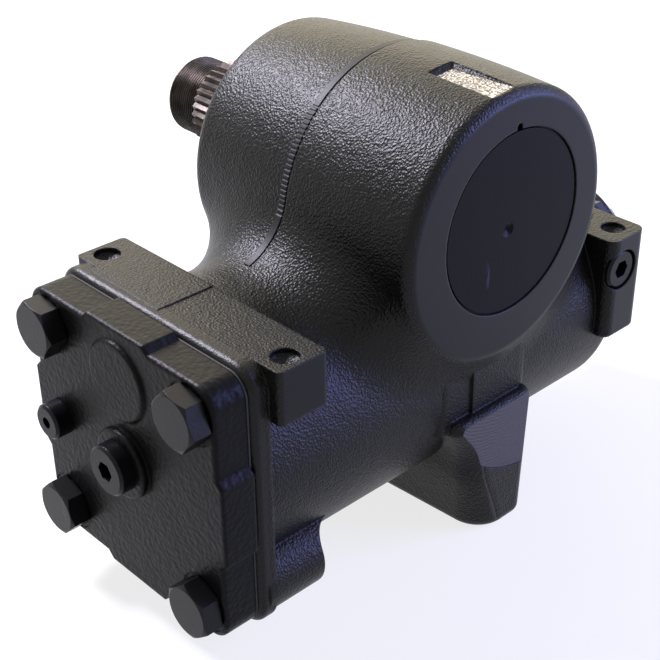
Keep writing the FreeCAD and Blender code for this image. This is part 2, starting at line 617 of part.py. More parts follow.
def housing():
    nose = rod("y", REAR_FACE_Y - CAST_ROUND, NOSE_END_Y, NOSE_RADIUS)
    nose = nose.makeChamfer(EDGE_CHAMFER, edges_at(nose, "y", NOSE_END_Y))
    additions = flange_end() + [input_block(), foot_lug(), nose] + front_web()
    return casting_body().fuse(additions).cut(housing_bores() + housing_holes() + [top_flat()])


# The end cover and what is screwed into it

def end_cover():
    plate = rounded_square("x", COVER_OUTER_X, COVER_INNER_X, COVER_HALF, COVER_CORNER_RADIUS, PISTON_AXIS)
    plate = plate.makeFillet(COVER_ROUND, edges_at(plate, "x", COVER_OUTER_X))
    reach = COVER_HALF + COVER_PAD_RISE
    inside = COVER_HALF - COVER_BOLT_RADIUS
    foot = COVER_PAD_HALF_WIDTH + reach - inside
    outline = [(-foot, PISTON_Z + inside), (-COVER_PAD_HALF_WIDTH, PISTON_Z + reach),
               (COVER_PAD_HALF_WIDTH, PISTON_Z + reach), (foot, PISTON_Z + inside)]
    top_pad = prism("x", outline, COVER_OUTER_X, COVER_INNER_X)
    top_pad = top_pad.makeFillet(EDGE_CHAMFER, edges_at(top_pad, "x", COVER_OUTER_X))
    pads = []
    for quarter in range(4):
        pad = top_pad.copy()
        pad.rotate(Vector(0, 0, PISTON_Z), WAYS["x"], 90 * quarter)
        pads.append(pad)
    bosses = []
    for radius, height, top_x in ((CENTRE_BOSS_RADIUS, 0.0, COVER_BOSS_X),
                                  (DISC_BOSS_RADIUS, DISC_BOSS_HEIGHT, COVER_OUTER_X - DISC_BOSS_RISE)):
        boss = rod("x", top_x, COVER_OUTER_X + 1, radius, (0.0, PISTON_Z + height))
        bosses.append(boss.makeFillet(BOSS_EDGE_ROUND, edges_at(boss, "x", top_x)))
    spigot_radius = BORE_RADIUS - SEAT_CLEARANCE
    spigot = tube("x", COVER_INNER_X - 1, COVER_JOINT_X + SPIGOT_LENGTH, spigot_radius,
                  spigot_radius - SPIGOT_WALL, PISTON_AXIS)
    cuts = [rod("x", COVER_BOSS_X - 1, COVER_INNER_X + 1, CENTRE_PLUG_SHANK_RADIUS + SEAT_CLEARANCE, PISTON_AXIS),
            rod("x", COVER_OUTER_X - 1, COVER_INNER_X + 1, BLEED_SHANK_RADIUS + SEAT_CLEARANCE,
                (BLEED_PLUG_Y, PISTON_Z)),
            rod("x", COVER_INNER_X - 1, COVER_JOINT_X + SPIGOT_LENGTH + 1, BLEED_HOLE_RADIUS,
                (BLEED_PLUG_Y, PISTON_Z))]
    for place in cover_bolt_places():
        cuts.append(rod("x", COVER_OUTER_X - 1, COVER_SEAT_X, SEAT_RADIUS, place))
        cuts.append(rod("x", COVER_OUTER_X - 1, COVER_INNER_X + 1, COVER_BOLT_RADIUS + BOLT_HOLE_CLEARANCE, place))
    return plate.fuse(pads + bosses + [spigot]).cut(cuts)


def end_cover_gasket():
    sheet = rounded_square("x", COVER_INNER_X, COVER_JOINT_X, COVER_HALF, COVER_CORNER_RADIUS, PISTON_AXIS)
    cuts = [rod("x", COVER_INNER_X - 1, COVER_JOINT_X + 1, BORE_RADIUS + GASKET_MARGIN, PISTON_AXIS)]
    for place in cover_bolt_places():
        cuts.append(rod("x", COVER_INNER_X - 1, COVER_JOINT_X + 1, COVER_BOLT_RADIUS + GASKET_MARGIN, place))
    return sheet.cut(cuts)


def hex_bolt(seat_x, tip_x, radius, across_flats, head_height, place, turn_degrees):
    """A hexagon bolt along X, with its head's corners chamfered and a round washer face under it."""
    outward = 1 if seat_x > tip_x else -1
    top_x = seat_x + outward * head_height
    washer_x = seat_x + outward * WASHER_FACE_HEIGHT
    low, high = sorted((washer_x, top_x))
    corner = across_flats / math.sqrt(3)
    flat = across_flats / 2
    top_radius = flat - HEAD_CHAMFER_INSET
    drop = outward * (corner - top_radius) * math.tan(math.radians(30))
    dome = turned("x", [(washer_x, 0.0), (washer_x, corner + 1), (top_x - drop, corner), (top_x, top_radius),
                        (top_x, 0.0)], place)
    head = hex_prism("x", low, high, across_flats, place, turn_degrees).common(dome)
    low, high = sorted((seat_x, washer_x + outward * 0.1))
    washer_face = rod("x", low, high, flat - WASHER_FACE_INSET, place)
    shank = turned("x", [(seat_x + outward * 0.1, 0.0), (seat_x + outward * 0.1, radius),
                         (tip_x + outward * TIP_CHAMFER, radius), (tip_x, radius - TIP_CHAMFER), (tip_x, 0.0)],
                   place)
    return head.fuse([washer_face, shank])


def socket_plug(axis, face, way, head_height, head_radius, shank_end, shank_radius, socket, centre):
    """A round-headed plug with a hexagon socket. Its face points along way, which is 1 or -1."""
    under_head = face - way * head_height
    body = turned(axis, [(face, 0.0), (face, head_radius - PLUG_RIM), (face - way * PLUG_RIM, head_radius),
                         (under_head, head_radius), (under_head, shank_radius), (shank_end, shank_radius),
                         (shank_end, 0.0)], centre)
    low, high = sorted((face + way, face - way * max(head_height, socket * 0.6)))
    return body.cut(hex_prism(axis, low, high, socket, centre))


def centre_plug():
    return socket_plug("x", COVER_BOSS_X - CENTRE_PLUG_HEIGHT, -1, CENTRE_PLUG_HEIGHT, CENTRE_PLUG_RADIUS,
                       COVER_INNER_X, CENTRE_PLUG_SHANK_RADIUS, CENTRE_PLUG_SOCKET, PISTON_AXIS)


def bleed_plug():
    place = (BLEED_PLUG_Y, PISTON_Z)
    face_x = COVER_OUTER_X - BLEED_PLUG_HEIGHT
    body = turned("x", [(face_x, 0.0), (face_x, BLEED_PLUG_RADIUS - PLUG_RIM),
                        (face_x + PLUG_RIM, BLEED_PLUG_RADIUS),
                        (COVER_OUTER_X, BLEED_PLUG_RADIUS), (COVER_OUTER_X, BLEED_SHANK_RADIUS),
                        (COVER_INNER_X, BLEED_SHANK_RADIUS), (COVER_INNER_X, 0.0)], place)
    return body.cut(rod("x", face_x - 1, COVER_OUTER_X, BLEED_HOLE_RADIUS, place))


def block_plug():
    under_head = PAD_FRONT_Y + BLOCK_PLUG_RECESS
    return socket_plug("y", under_head - BLOCK_PLUG_THICKNESS, -1, BLOCK_PLUG_THICKNESS, BLOCK_PLUG_RADIUS,
                       under_head + BLOCK_PLUG_REACH, BLOCK_PLUG_SHANK_RADIUS, BLOCK_PLUG_SOCKET, BLOCK_PLUG_PLACE)


# The sector shaft and what holds it

def involute_half_angle(radius):
    """Half the angle that a sector tooth covers at a radius."""
    turn = math.acos(BASE_RADIUS / radius)
    at_pitch = SECTOR_TOOTH_THICKNESS / (2 * PITCH_RADIUS)
    return at_pitch + (math.tan(PRESSURE_ANGLE) - PRESSURE_ANGLE) - (math.tan(turn) - turn)


def sector_tooth(angle):
    """One involute tooth, pointing down at an angle in radians towards +X."""
    def spot(radius, offset):
        return Vector(radius * math.sin(angle + offset), -SECTOR_FACE_WIDTH / 2, -radius * math.cos(angle + offset))
    low_radius = max(BASE_RADIUS, SECTOR_ROOT_RADIUS) * 1.0001
    step = (SECTOR_TIP_RADIUS - low_radius) / (FLANK_POINTS - 1)
    radii = [low_radius + k * step for k in range(FLANK_POINTS)]
    right = [spot(r, involute_half_angle(r)) for r in radii]
    left = [spot(r, -involute_half_angle(r)) for r in radii]
    flanks = [Part.BSplineCurve(), Part.BSplineCurve()]
    flanks[0].interpolate(right)
    flanks[1].interpolate(left)
    foot = SECTOR_ROOT_RADIUS * 0.9
    foot_right, foot_left = spot(foot, involute_half_angle(low_radius)), spot(foot, -involute_half_angle(low_radius))
    outline = Part.Wire([Part.LineSegment(foot_right, right[0]).toShape(), flanks[0].toShape(),
                         Part.Arc(right[-1], spot(SECTOR_TIP_RADIUS, 0.0), left[-1]).toShape(),
                         flanks[1].toShape(), Part.LineSegment(left[0], foot_left).toShape(),
                         Part.LineSegment(foot_left, foot_right).toShape()])
    return Part.Face(outline).extrude(WAYS["y"] * SECTOR_FACE_WIDTH)


def serrated(shaft, axis, start, end, start_radius, end_radius, count, depth, centre):
    """Cuts V-shaped grooves along a straight or tapered stretch of a shaft."""
    groove_half = math.pi * start_radius / count
    lift = 1.0
    sections = []
    for along, radius in ((start, start_radius), (end, end_radius)):
        top = radius + lift
        spread = groove_half * (depth + lift) / depth
        corners = [point(axis, along, (-spread, top)), point(axis, along, (spread, top)),
                   point(axis, along, (0.0, radius - depth))]
        sections.append(Part.makePolygon(corners + corners[:1]))
    groove = Part.makeLoft(sections, True, True)
    grooves = []
    for k in range(count):
        turned_groove = groove.copy()
        turned_groove.rotate(Vector(0, 0, 0), WAYS[axis], 360.0 * k / count)
        turned_groove.translate(point(axis, 0.0, centre))
        grooves.append(turned_groove)
    return shaft.cut(grooves)


def sector_shaft():
    journal = JOURNAL_RADIUS - RUNNING_CLEARANCE
    half = SECTOR_FACE_WIDTH / 2
    shoulder_radius = SERRATION_END_RADIUS + SERRATION_TAPER
    outline = [(SECTOR_FRONT_Y, 0.0), (SECTOR_FRONT_Y, journal - EDGE_CHAMFER),
               (SECTOR_FRONT_Y + EDGE_CHAMFER, journal), (-half, journal), (-half, SECTOR_ROOT_RADIUS),
               (half, SECTOR_ROOT_RADIUS), (half, journal), (SHAFT_SHOULDER_Y - EDGE_CHAMFER, journal),
               (SHAFT_SHOULDER_Y, shoulder_radius), (ARM_SEAT_Y, SERRATION_END_RADIUS),
               (ARM_SEAT_Y, THREAD_RADIUS), (THREAD_END_Y - EDGE_CHAMFER, THREAD_RADIUS),
               (THREAD_END_Y, THREAD_RADIUS - EDGE_CHAMFER), (THREAD_END_Y, 0.0)]
    shaft = turned("y", outline)
    shaft = serrated(shaft, "y", SHAFT_SHOULDER_Y + SERRATION_DEPTH, ARM_SEAT_Y + 1, shoulder_radius,
                     SERRATION_END_RADIUS, SERRATION_COUNT, SERRATION_DEPTH, (0.0, 0.0))
    tooth_angle = RACK_PITCH / PITCH_RADIUS
    teeth = [sector_tooth(k * tooth_angle) for k in range(-SIDE_TEETH, SIDE_TEETH + 1)]
    drill_depth = CENTRE_DRILL_RADIUS * math.sqrt(3)
    rear_drill = turned("y", [(THREAD_END_Y - drill_depth, 0.0), (THREAD_END_Y, CENTRE_DRILL_RADIUS),
                              (THREAD_END_Y, 0.0)])
    front_drill = turned("y", [(SECTOR_FRONT_Y + drill_depth, 0.0), (SECTOR_FRONT_Y, CENTRE_DRILL_RADIUS),
                               (SECTOR_FRONT_Y, 0.0)])
    return shaft.fuse(teeth).cut([rear_drill, front_drill])


def side_cover():
    """The round cover that closes the sector's bore and carries the shaft's front bearing on a hub."""
    rim = SIDE_BORE_RADIUS - SEAT_CLEARANCE
    face_radius = SIDE_BORE_RADIUS - SNAP_RING_SHOWING - SEAT_CLEARANCE
    ring_end = SNAP_RING_START_Y + SNAP_RING_WIDTH + SEAT_CLEARANCE
    hub_radius = BEARING_RADIUS + SIDE_HUB_WALL
    hub_end = SIDE_COVER_BACK_Y + SIDE_HUB_REACH
    seal_start = SIDE_COVER_BACK_Y - SIDE_SEAL_WIDTH * 1.5
    outline = [(SIDE_COVER_Y, 0.0), (SIDE_COVER_Y, face_radius), (ring_end, face_radius), (ring_end, rim),
               (seal_start, rim), (seal_start, rim - SIDE_SEAL_DEPTH),
               (seal_start + SIDE_SEAL_WIDTH, rim - SIDE_SEAL_DEPTH), (seal_start + SIDE_SEAL_WIDTH, rim),
               (SIDE_COVER_BACK_Y, rim), (SIDE_COVER_BACK_Y, hub_radius), (hub_end, hub_radius),
               (hub_end, BEARING_RADIUS), (SIDE_COVER_BACK_Y, BEARING_RADIUS), (SIDE_COVER_BACK_Y, 0.0)]
    dimple = turned("y", [(SIDE_COVER_Y - 1, 0.0), (SIDE_COVER_Y - 1, DIMPLE_RADIUS), (SIDE_COVER_Y, DIMPLE_RADIUS),
                          (SIDE_COVER_Y + DIMPLE_RADIUS / 2, 0.0)], (DIMPLE_X, DIMPLE_Z))
    return turned("y", outline).cut(dimple)


def side_cover_seal():
    rim = SIDE_BORE_RADIUS - SEAT_CLEARANCE
    seal_start = SIDE_COVER_BACK_Y - SIDE_SEAL_WIDTH * 1.5
    return tube("y", seal_start, seal_start + SIDE_SEAL_WIDTH, SIDE_BORE_RADIUS, rim - SIDE_SEAL_DEPTH)


def side_cover_ring():
    """The open snap ring that keeps the side cover in, with its gap beside the notch at the top."""
    inner = SIDE_BORE_RADIUS - SNAP_RING_SHOWING
    outer = SIDE_BORE_RADIUS + SNAP_RING_DEPTH
    ring = tube("y", SNAP_RING_START_Y, SNAP_RING_START_Y + SNAP_RING_WIDTH, outer, inner)
    gap = box((-SNAP_RING_GAP / 2, FRONT_FACE_Y, 0.0), (SNAP_RING_GAP / 2, 0.0, outer + 1))
    return ring.cut(gap)


def bearing_ring(axis, start, end, outer, inner, centre=(0.0, 0.0)):
    """A bearing drawn as one ring, with its edges eased."""
    ease = (outer - inner) * 0.12
    return turned(axis, [(start, inner + ease), (start, outer - ease), (start + ease, outer), (end - ease, outer),
                         (end, outer - ease), (end, inner + ease), (end - ease, inner), (start + ease, inner)],
                  centre)


def sector_bearing_front():
    return bearing_ring("y", SIDE_COVER_BACK_Y, SIDE_COVER_BACK_Y + BEARING_LENGTH, BEARING_RADIUS, JOURNAL_RADIUS)


def sector_bearing_rear():
    return bearing_ring("y", REAR_BEARING_Y, REAR_BEARING_END_Y, BEARING_RADIUS, JOURNAL_RADIUS)


def output_seal():
    """A lip seal: a channel section that is open towards the pressure side."""
    end = SEAL_START_Y + OUTPUT_SEAL_LENGTH
    floor = end - SEAL_WALL
    lip_radius = JOURNAL_RADIUS + SEAL_WALL
    return turned("y", [(SEAL_START_Y, SEAL_RADIUS), (end, SEAL_RADIUS), (end, JOURNAL_RADIUS),
                        (floor - SEAL_WALL * 2, JOURNAL_RADIUS), (floor - SEAL_WALL, lip_radius),
                        (floor, lip_radius), (floor, SEAL_RADIUS - SEAL_WALL),
                        (SEAL_START_Y, SEAL_RADIUS - SEAL_WALL)])


def dust_seal():
    start = SEAL_START_Y + OUTPUT_SEAL_LENGTH
    end = start + DUST_SEAL_LENGTH
    return turned("y", [(start, SEAL_RADIUS), (end, SEAL_RADIUS), (end, JOURNAL_RADIUS + DUST_LIP),
                        (end + DUST_LIP, JOURNAL_RADIUS), (start, JOURNAL_RADIUS)])


# The rack piston and the ball screw

def rack_space(x):
    """One space between two rack teeth, cut across the piston."""
    half_at_pitch = SECTOR_TOOTH_THICKNESS / 2 + FLANK_CLEARANCE
    def half_at(height):
        return half_at_pitch + (height - RACK_PITCH_LINE) * math.tan(PRESSURE_ANGLE)
    top = RACK_TIP + 1
    outline = [(x - half_at(RACK_ROOT), PISTON_Z + RACK_ROOT), (x + half_at(RACK_ROOT), PISTON_Z + RACK_ROOT),
               (x + half_at(top), PISTON_Z + top), (x - half_at(top), PISTON_Z + top)]
    return prism("y", outline, -BORE_RADIUS, BORE_RADIUS)


def rack_piston():
    body = rod("x", PISTON_LEFT_X, PISTON_RIGHT_X, PISTON_RADIUS, PISTON_AXIS)
    ends = edges_at(body, "x", PISTON_LEFT_X) + edges_at(body, "x", PISTON_RIGHT_X)
    body = body.makeChamfer(EDGE_CHAMFER, ends)
    over_rack = box((RACK_FLAT_LEFT_X, -BORE_RADIUS, PISTON_Z + RACK_TIP),
                    (PISTON_RIGHT_X + 1, BORE_RADIUS, PISTON_Z + BORE_RADIUS))
    spaces = [rack_space(k * RACK_PITCH) for k in range(-SIDE_TEETH, SIDE_TEETH + 1)]
    bores = [rod("x", PISTON_LEFT_X - 1, PISTON_LEFT_X + PISTON_PLUG_LENGTH, PISTON_PLUG_RADIUS, PISTON_AXIS),
             rod("x", PISTON_LEFT_X, NUT_LEFT_X, PISTON_BORE_RADIUS, PISTON_AXIS),
             rod("x", NUT_LEFT_X - 1, NUT_RIGHT_X + 1, NUT_RADIUS, PISTON_AXIS),
             rod("x", NUT_RIGHT_X, PISTON_RIGHT_X + 1, PISTON_BORE_RADIUS, PISTON_AXIS)]
    ring_groove = tube("x", RING_X, RING_X + RING_WIDTH, BORE_RADIUS + 1, BORE_RADIUS - RING_DEPTH, PISTON_AXIS)
    body = body.cut([over_rack, ring_groove] + spaces + bores)
    groove_inset = GROOVE_RADIUS + NUT_END_WALL
    return body.cut(screw_groove(NUT_LEFT_X + groove_inset, NUT_RIGHT_X - groove_inset))


def piston_ring():
    return tube("x", RING_X, RING_X + RING_WIDTH, BORE_RADIUS - RUNNING_CLEARANCE,
                BORE_RADIUS - RING_DEPTH + SEAT_CLEARANCE, PISTON_AXIS)


def piston_plug():
    body = rod("x", PISTON_LEFT_X, PISTON_LEFT_X + PISTON_PLUG_LENGTH, PISTON_PLUG_RADIUS, PISTON_AXIS)
    socket = hex_prism("x", PISTON_LEFT_X - 1, PISTON_LEFT_X + PISTON_PLUG_LENGTH / 2, PISTON_PLUG_RADIUS / 2,
                       PISTON_AXIS)
    return body.cut(socket)


def ball_circuit():
    """One turn of balls in the screw's groove."""
    balls = []
    for k in range(BALLS_PER_TURN):
        x = CIRCUIT_START_X + SCREW_LEAD * k / BALLS_PER_TURN
        angle = 2 * math.pi * x / SCREW_LEAD
        centre = Vector(x, BALL_CIRCLE_RADIUS * math.cos(angle), PISTON_Z + BALL_CIRCLE_RADIUS * math.sin(angle))
        balls.append(Part.makeSphere(BALL_RADIUS, centre))
    return Part.makeCompound(balls)


def worm():
    neck_radius = SPOOL_RADIUS + SEAT_CLEARANCE
    outline = [(WORM_START_X, 0.0), (WORM_START_X, WORM_RADIUS - EDGE_CHAMFER),
               (WORM_START_X + EDGE_CHAMFER, WORM_RADIUS), (WORM_THREAD_END_X, WORM_RADIUS),
               (WORM_THREAD_END_X, WORM_SHANK_RADIUS), (WORM_HEAD_X, WORM_SHANK_RADIUS),
               (WORM_HEAD_X, WORM_HEAD_RADIUS), (WORM_HEAD_END_X, WORM_HEAD_RADIUS),
               (WORM_HEAD_END_X, neck_radius), (SPIGOT_START_X + END_PLAY, neck_radius),
               (SPIGOT_START_X + END_PLAY, SLEEVE_RADIUS - END_PLAY),
               (SLEEVE_START_X, SLEEVE_RADIUS - END_PLAY), (SLEEVE_START_X, 0.0)]
    body = turned("x", outline, PISTON_AXIS)
    groove = screw_groove(WORM_START_X - 2 * BALL_RADIUS, WORM_THREAD_END_X + 2 * BALL_RADIUS)
    head_start = WORM_THREAD_END_X + TORSION_HEAD_LENGTH
    bar_bore = rod("x", head_start, SLEEVE_START_X + 1, TORSION_HEAD_RADIUS + RUNNING_CLEARANCE, PISTON_AXIS)
    return body.cut([groove, bar_bore])


def torsion_bar():
    """Thin along its length, with a head at each end: one is fixed in the screw."""
    head_start = WORM_THREAD_END_X + TORSION_HEAD_LENGTH
    head_end = head_start + TORSION_HEAD_LENGTH
    taper = TORSION_HEAD_RADIUS - TORSION_BAR_RADIUS
    outline = [(head_start, 0.0), (head_start, TORSION_HEAD_RADIUS), (head_end, TORSION_HEAD_RADIUS),
               (head_end + taper, TORSION_BAR_RADIUS), (TORSION_BAR_END_X, TORSION_BAR_RADIUS),
               (TORSION_BAR_END_X, 0.0)]
    return turned("x", outline, PISTON_AXIS)


def thrust_bearing_front():
    return bearing_ring("x", HEAD_CHAMBER_X, WORM_HEAD_X - END_PLAY, THRUST_BEARING_RADIUS,
                        CHAMBER_WALL_HOLE_RADIUS - THRUST_BEARING_LENGTH / 2, PISTON_AXIS)


def thrust_bearing_rear():
    return bearing_ring("x", WORM_HEAD_END_X + END_PLAY, SPIGOT_START_X, THRUST_BEARING_RADIUS,
                        CHAMBER_WALL_HOLE_RADIUS - THRUST_BEARING_LENGTH / 2, PISTON_AXIS)


# The valve and the input shaft

def valve_sleeve():
    """The rotary valve's sleeve, with three grooves round it and a hole into each."""
    body = tube("x", SLEEVE_START_X, SLEEVE_END_X, SLEEVE_RADIUS, SPOOL_RADIUS + SEAT_CLEARANCE, PISTON_AXIS)
    cuts = []
    for k in range(3):
        middle = SLEEVE_START_X + SLEEVE_LENGTH * (k + 1) / 4
        cuts.append(tube("x", middle - SLEEVE_GROOVE_WIDTH / 2, middle + SLEEVE_GROOVE_WIDTH / 2,
                         SLEEVE_RADIUS + 1, SLEEVE_RADIUS - SLEEVE_GROOVE_DEPTH, PISTON_AXIS))
        cuts.append(rod("z", PISTON_Z, 0.0, SPOOL_GROOVE_RADIUS, (middle, 0.0)))
    return body.cut(cuts)


def input_shaft():
    """The spool of the rotary valve and the serrated end for the steering column, in one piece."""
    start = SLEEVE_START_X + END_PLAY
    spool_end = SLEEVE_END_X
    outline = [(start, 0.0), (start, SPOOL_RADIUS), (spool_end, SPOOL_RADIUS), (spool_end, INPUT_RADIUS),
               (INPUT_END_X - EDGE_CHAMFER, INPUT_RADIUS), (INPUT_END_X, INPUT_RADIUS - EDGE_CHAMFER),
               (INPUT_END_X, 0.0)]
    body = turned("x", outline, PISTON_AXIS)
    body = serrated(body, "x", INPUT_END_X - INPUT_SERRATION_LENGTH, INPUT_END_X + 1, INPUT_RADIUS, INPUT_RADIUS,
                    SERRATION_COUNT, INPUT_SERRATION_DEPTH, PISTON_AXIS)
    slots = []
    for y, z in circle_places(SPOOL_SLOT_COUNT, SPOOL_RADIUS):
        slots.append(rod("x", start + EDGE_CHAMFER * 2, spool_end - EDGE_CHAMFER * 2, SPOOL_GROOVE_RADIUS,
                         (y, PISTON_Z + z)))
    bar_bore = rod("x", start - 1, TORSION_BAR_END_X + END_PLAY, TORSION_BAR_RADIUS + RUNNING_CLEARANCE,
                   PISTON_AXIS)
    return body.cut(slots + [bar_bore])


def valve_housing():
    """The bolted housing of the rotary valve, with a square boss for the two hose ports."""
    outline = [(SPIGOT_START_X, 0.0), (SPIGOT_START_X, VALVE_SPIGOT_RADIUS), (HOUSING_END_X, VALVE_SPIGOT_RADIUS),
               (HOUSING_END_X, VALVE_FLANGE_RADIUS), (VALVE_SEAT_X, VALVE_FLANGE_RADIUS),
               (VALVE_SEAT_X, VALVE_BODY_RADIUS), (VALVE_BODY_END_X, VALVE_BODY_RADIUS),
               (VALVE_BODY_END_X, VALVE_NOSE_RADIUS), (VALVE_NOSE_END_X, VALVE_NOSE_RADIUS),
               (VALVE_NOSE_END_X, 0.0)]
    body = turned("x", outline, PISTON_AXIS)
    rounds = edges_at(body, "x", VALVE_SEAT_X)
    body = body.makeFillet(SMALL_ROUND / 2, rounds)
    half_height = PORT_SPACING / 2 + PORT_RADIUS + PORT_WALL
    boss = box((PORT_X - PORT_RADIUS - PORT_WALL, 0.0, PISTON_Z - half_height),
               (VALVE_BODY_END_X, PORT_FACE_Y, PISTON_Z + half_height))
    boss = boss.makeFillet(SMALL_ROUND, [edge for edge in boss.Edges if edge.BoundBox.YLength > 1])
    cuts = [rod("x", SPIGOT_START_X - 1, VALVE_NOSE_END_X + 1, INPUT_RADIUS + BOLT_HOLE_CLEARANCE, PISTON_AXIS),
            rod("x", SPIGOT_START_X - 1, SLEEVE_END_X + BOLT_HOLE_CLEARANCE, VALVE_BORE_RADIUS, PISTON_AXIS),
            rod("x", SLEEVE_END_X, INPUT_SEAL_END_X, INPUT_BEARING_RADIUS, PISTON_AXIS),
            tube("x", HOUSING_END_X - 1, HOUSING_END_X + FACE_SEAL_DEPTH, FACE_SEAL_OUTER_RADIUS,
                 FACE_SEAL_RADIUS, PISTON_AXIS)]
    for side in (-1, 1):
        place = (PORT_X, PISTON_Z + side * PORT_SPACING / 2)
        cuts.append(rod("y", PORT_FACE_Y - PORT_DEPTH, PORT_FACE_Y + 1, PORT_RADIUS, place))
        cuts.append(rod("y", 0.0, PORT_FACE_Y, PORT_PASSAGE_RADIUS, place))
    for place in valve_bolt_places():
        cuts.append(rod("x", HOUSING_END_X - 1, VALVE_SEAT_X + 1, VALVE_BOLT_RADIUS + BOLT_HOLE_CLEARANCE, place))
    return body.fuse(boss).cut(cuts)


def valve_housing_seal():
    return tube("x", HOUSING_END_X, HOUSING_END_X + FACE_SEAL_DEPTH, FACE_SEAL_OUTER_RADIUS, FACE_SEAL_RADIUS,
                PISTON_AXIS)


def input_bearing():
    end = INPUT_SEAL_END_X - INPUT_SEAL_LENGTH
    return bearing_ring("x", end - INPUT_BEARING_LENGTH, end, INPUT_BEARING_RADIUS,
                        INPUT_RADIUS + RUNNING_CLEARANCE, PISTON_AXIS)


def input_seal():
    return tube("x", INPUT_SEAL_END_X - INPUT_SEAL_LENGTH, INPUT_SEAL_END_X, INPUT_BEARING_RADIUS,
                INPUT_RADIUS + RUNNING_CLEARANCE, PISTON_AXIS)


def input_dust_cap():
    start, end = VALVE_NOSE_END_X, VALVE_NOSE_END_X + DUST_CAP_LENGTH
    inner = INPUT_RADIUS + RUNNING_CLEARANCE
    return turned("x", [(start, inner), (start, DUST_CAP_RADIUS), (start + DUST_CAP_LENGTH / 2, DUST_CAP_RADIUS),
                        (end, inner + DUST_CAP_LENGTH), (end, inner)], PISTON_AXIS)


def save(name, shape):
    shape = shape.copy()
    shape.translate(Vector(0, -ARM_SEAT_Y, 0))
    shape.exportStep("parts/" + name + ".step")
    print(name, "valid" if shape.isValid() else "NOT VALID", len(shape.Solids), "solids", round(shape.Volume))


os.makedirs("parts", exist_ok=True)
single_pieces = (housing, end_cover, end_cover_gasket, centre_plug, bleed_plug, block_plug, side_cover,
                 side_cover_seal, side_cover_ring, sector_bearing_front, sector_bearing_rear, output_seal,
                 dust_seal, sector_shaft, rack_piston, piston_ring, piston_plug, worm, torsion_bar,
                 ball_circuit, thrust_bearing_front, thrust_bearing_rear, valve_sleeve, input_shaft, valve_housing,
                 valve_housing_seal, input_bearing, input_seal, input_dust_cap)
for piece in single_pieces:
    save(piece.__name__, piece())
for number, (place, turn) in enumerate(zip(cover_bolt_places(), COVER_HEAD_TURNS), 1):
    save("end_cover_bolt_%d" % number,
         hex_bolt(COVER_SEAT_X, COVER_JOINT_X + COVER_BOLT_REACH, COVER_BOLT_RADIUS, COVER_BOLT_ACROSS_FLATS,
                  COVER_BOLT_HEAD_HEIGHT, place, turn))
for number, (place, turn) in enumerate(zip(valve_bolt_places(), VALVE_HEAD_TURNS), 1):
    save("valve_housing_bolt_%d" % number,
         hex_bolt(VALVE_SEAT_X, HOUSING_END_X - VALVE_BOLT_REACH, VALVE_BOLT_RADIUS, VALVE_BOLT_ACROSS_FLATS,
                  VALVE_BOLT_HEAD_HEIGHT, place, turn))
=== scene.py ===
# Looks of a power steering gear: painted castings, oily steel, and the studio that it stands in.
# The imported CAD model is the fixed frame. Everything is in metres, in the CAD's own frame.
import bpy
import math
import numpy as np
from mathutils import Matrix, Vector


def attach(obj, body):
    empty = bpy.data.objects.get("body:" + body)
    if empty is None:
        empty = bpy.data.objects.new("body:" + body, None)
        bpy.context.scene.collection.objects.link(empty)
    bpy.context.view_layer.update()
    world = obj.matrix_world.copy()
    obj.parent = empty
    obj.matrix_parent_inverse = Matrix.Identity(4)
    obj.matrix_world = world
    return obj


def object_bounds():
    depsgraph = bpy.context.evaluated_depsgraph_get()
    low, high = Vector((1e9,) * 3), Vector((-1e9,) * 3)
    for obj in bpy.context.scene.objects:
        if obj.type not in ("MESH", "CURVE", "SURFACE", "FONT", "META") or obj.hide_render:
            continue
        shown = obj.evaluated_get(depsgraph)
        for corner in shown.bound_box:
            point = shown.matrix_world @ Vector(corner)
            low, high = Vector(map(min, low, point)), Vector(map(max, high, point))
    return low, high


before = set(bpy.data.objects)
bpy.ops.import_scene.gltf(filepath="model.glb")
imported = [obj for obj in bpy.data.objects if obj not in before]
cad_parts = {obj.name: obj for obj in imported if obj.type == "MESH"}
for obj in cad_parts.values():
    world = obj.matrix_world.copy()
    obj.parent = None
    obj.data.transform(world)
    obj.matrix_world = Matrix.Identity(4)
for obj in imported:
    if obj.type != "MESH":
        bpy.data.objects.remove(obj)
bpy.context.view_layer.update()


# The housing is grey iron cast in a sand mould, so its skin is pebbled. It was sprayed with semi-gloss black
# enamel after machining, which leaves the milled faces smooth. A small flat on top was milled again later, and
# is bare.

PEBBLE, PEBBLE_DEPTH, PAINT_EDGE = 0.0010, 0.0003, 0.0012
RIM_X, RIM_GRAIN, MILLED_GRAIN = (-0.1295, -0.1265), 0.4, 0.05
FRONT_PLANE_Y = (-0.1810, -0.1802)
LUG_SPOT_TOP_Z, LUG_SPOT_EDGE = -0.088, 0.001
CUTTER_MIDDLE, CUTTER_FEED, CUTTER_WAVER, CUTTER_DEPTH = (0.004, -0.1805, -0.048), 0.0017, 0.0022, 0.22
TOP_FLAT_X, TOP_FLAT_Y, TOP_FLAT_Z = (-0.0130, -0.0007), (-0.1767, -0.1458), (0.050, 0.052)
RAGGED_EDGE, SOFT_EDGE = 0.0012, 0.0002
AS_COLOUR = {"data_type": "RGBA", "output": 2}


def hex_colour(text):
    """A colour written as sRGB hex, as the linear RGBA that nodes take."""
    channels = [int(text[k:k + 2], 16) / 255 for k in (0, 2, 4)]
    linear = [c / 12.92 if c <= 0.04045 else ((c + 0.055) / 1.055) ** 2.4 for c in channels]
    return (*linear, 1.0)


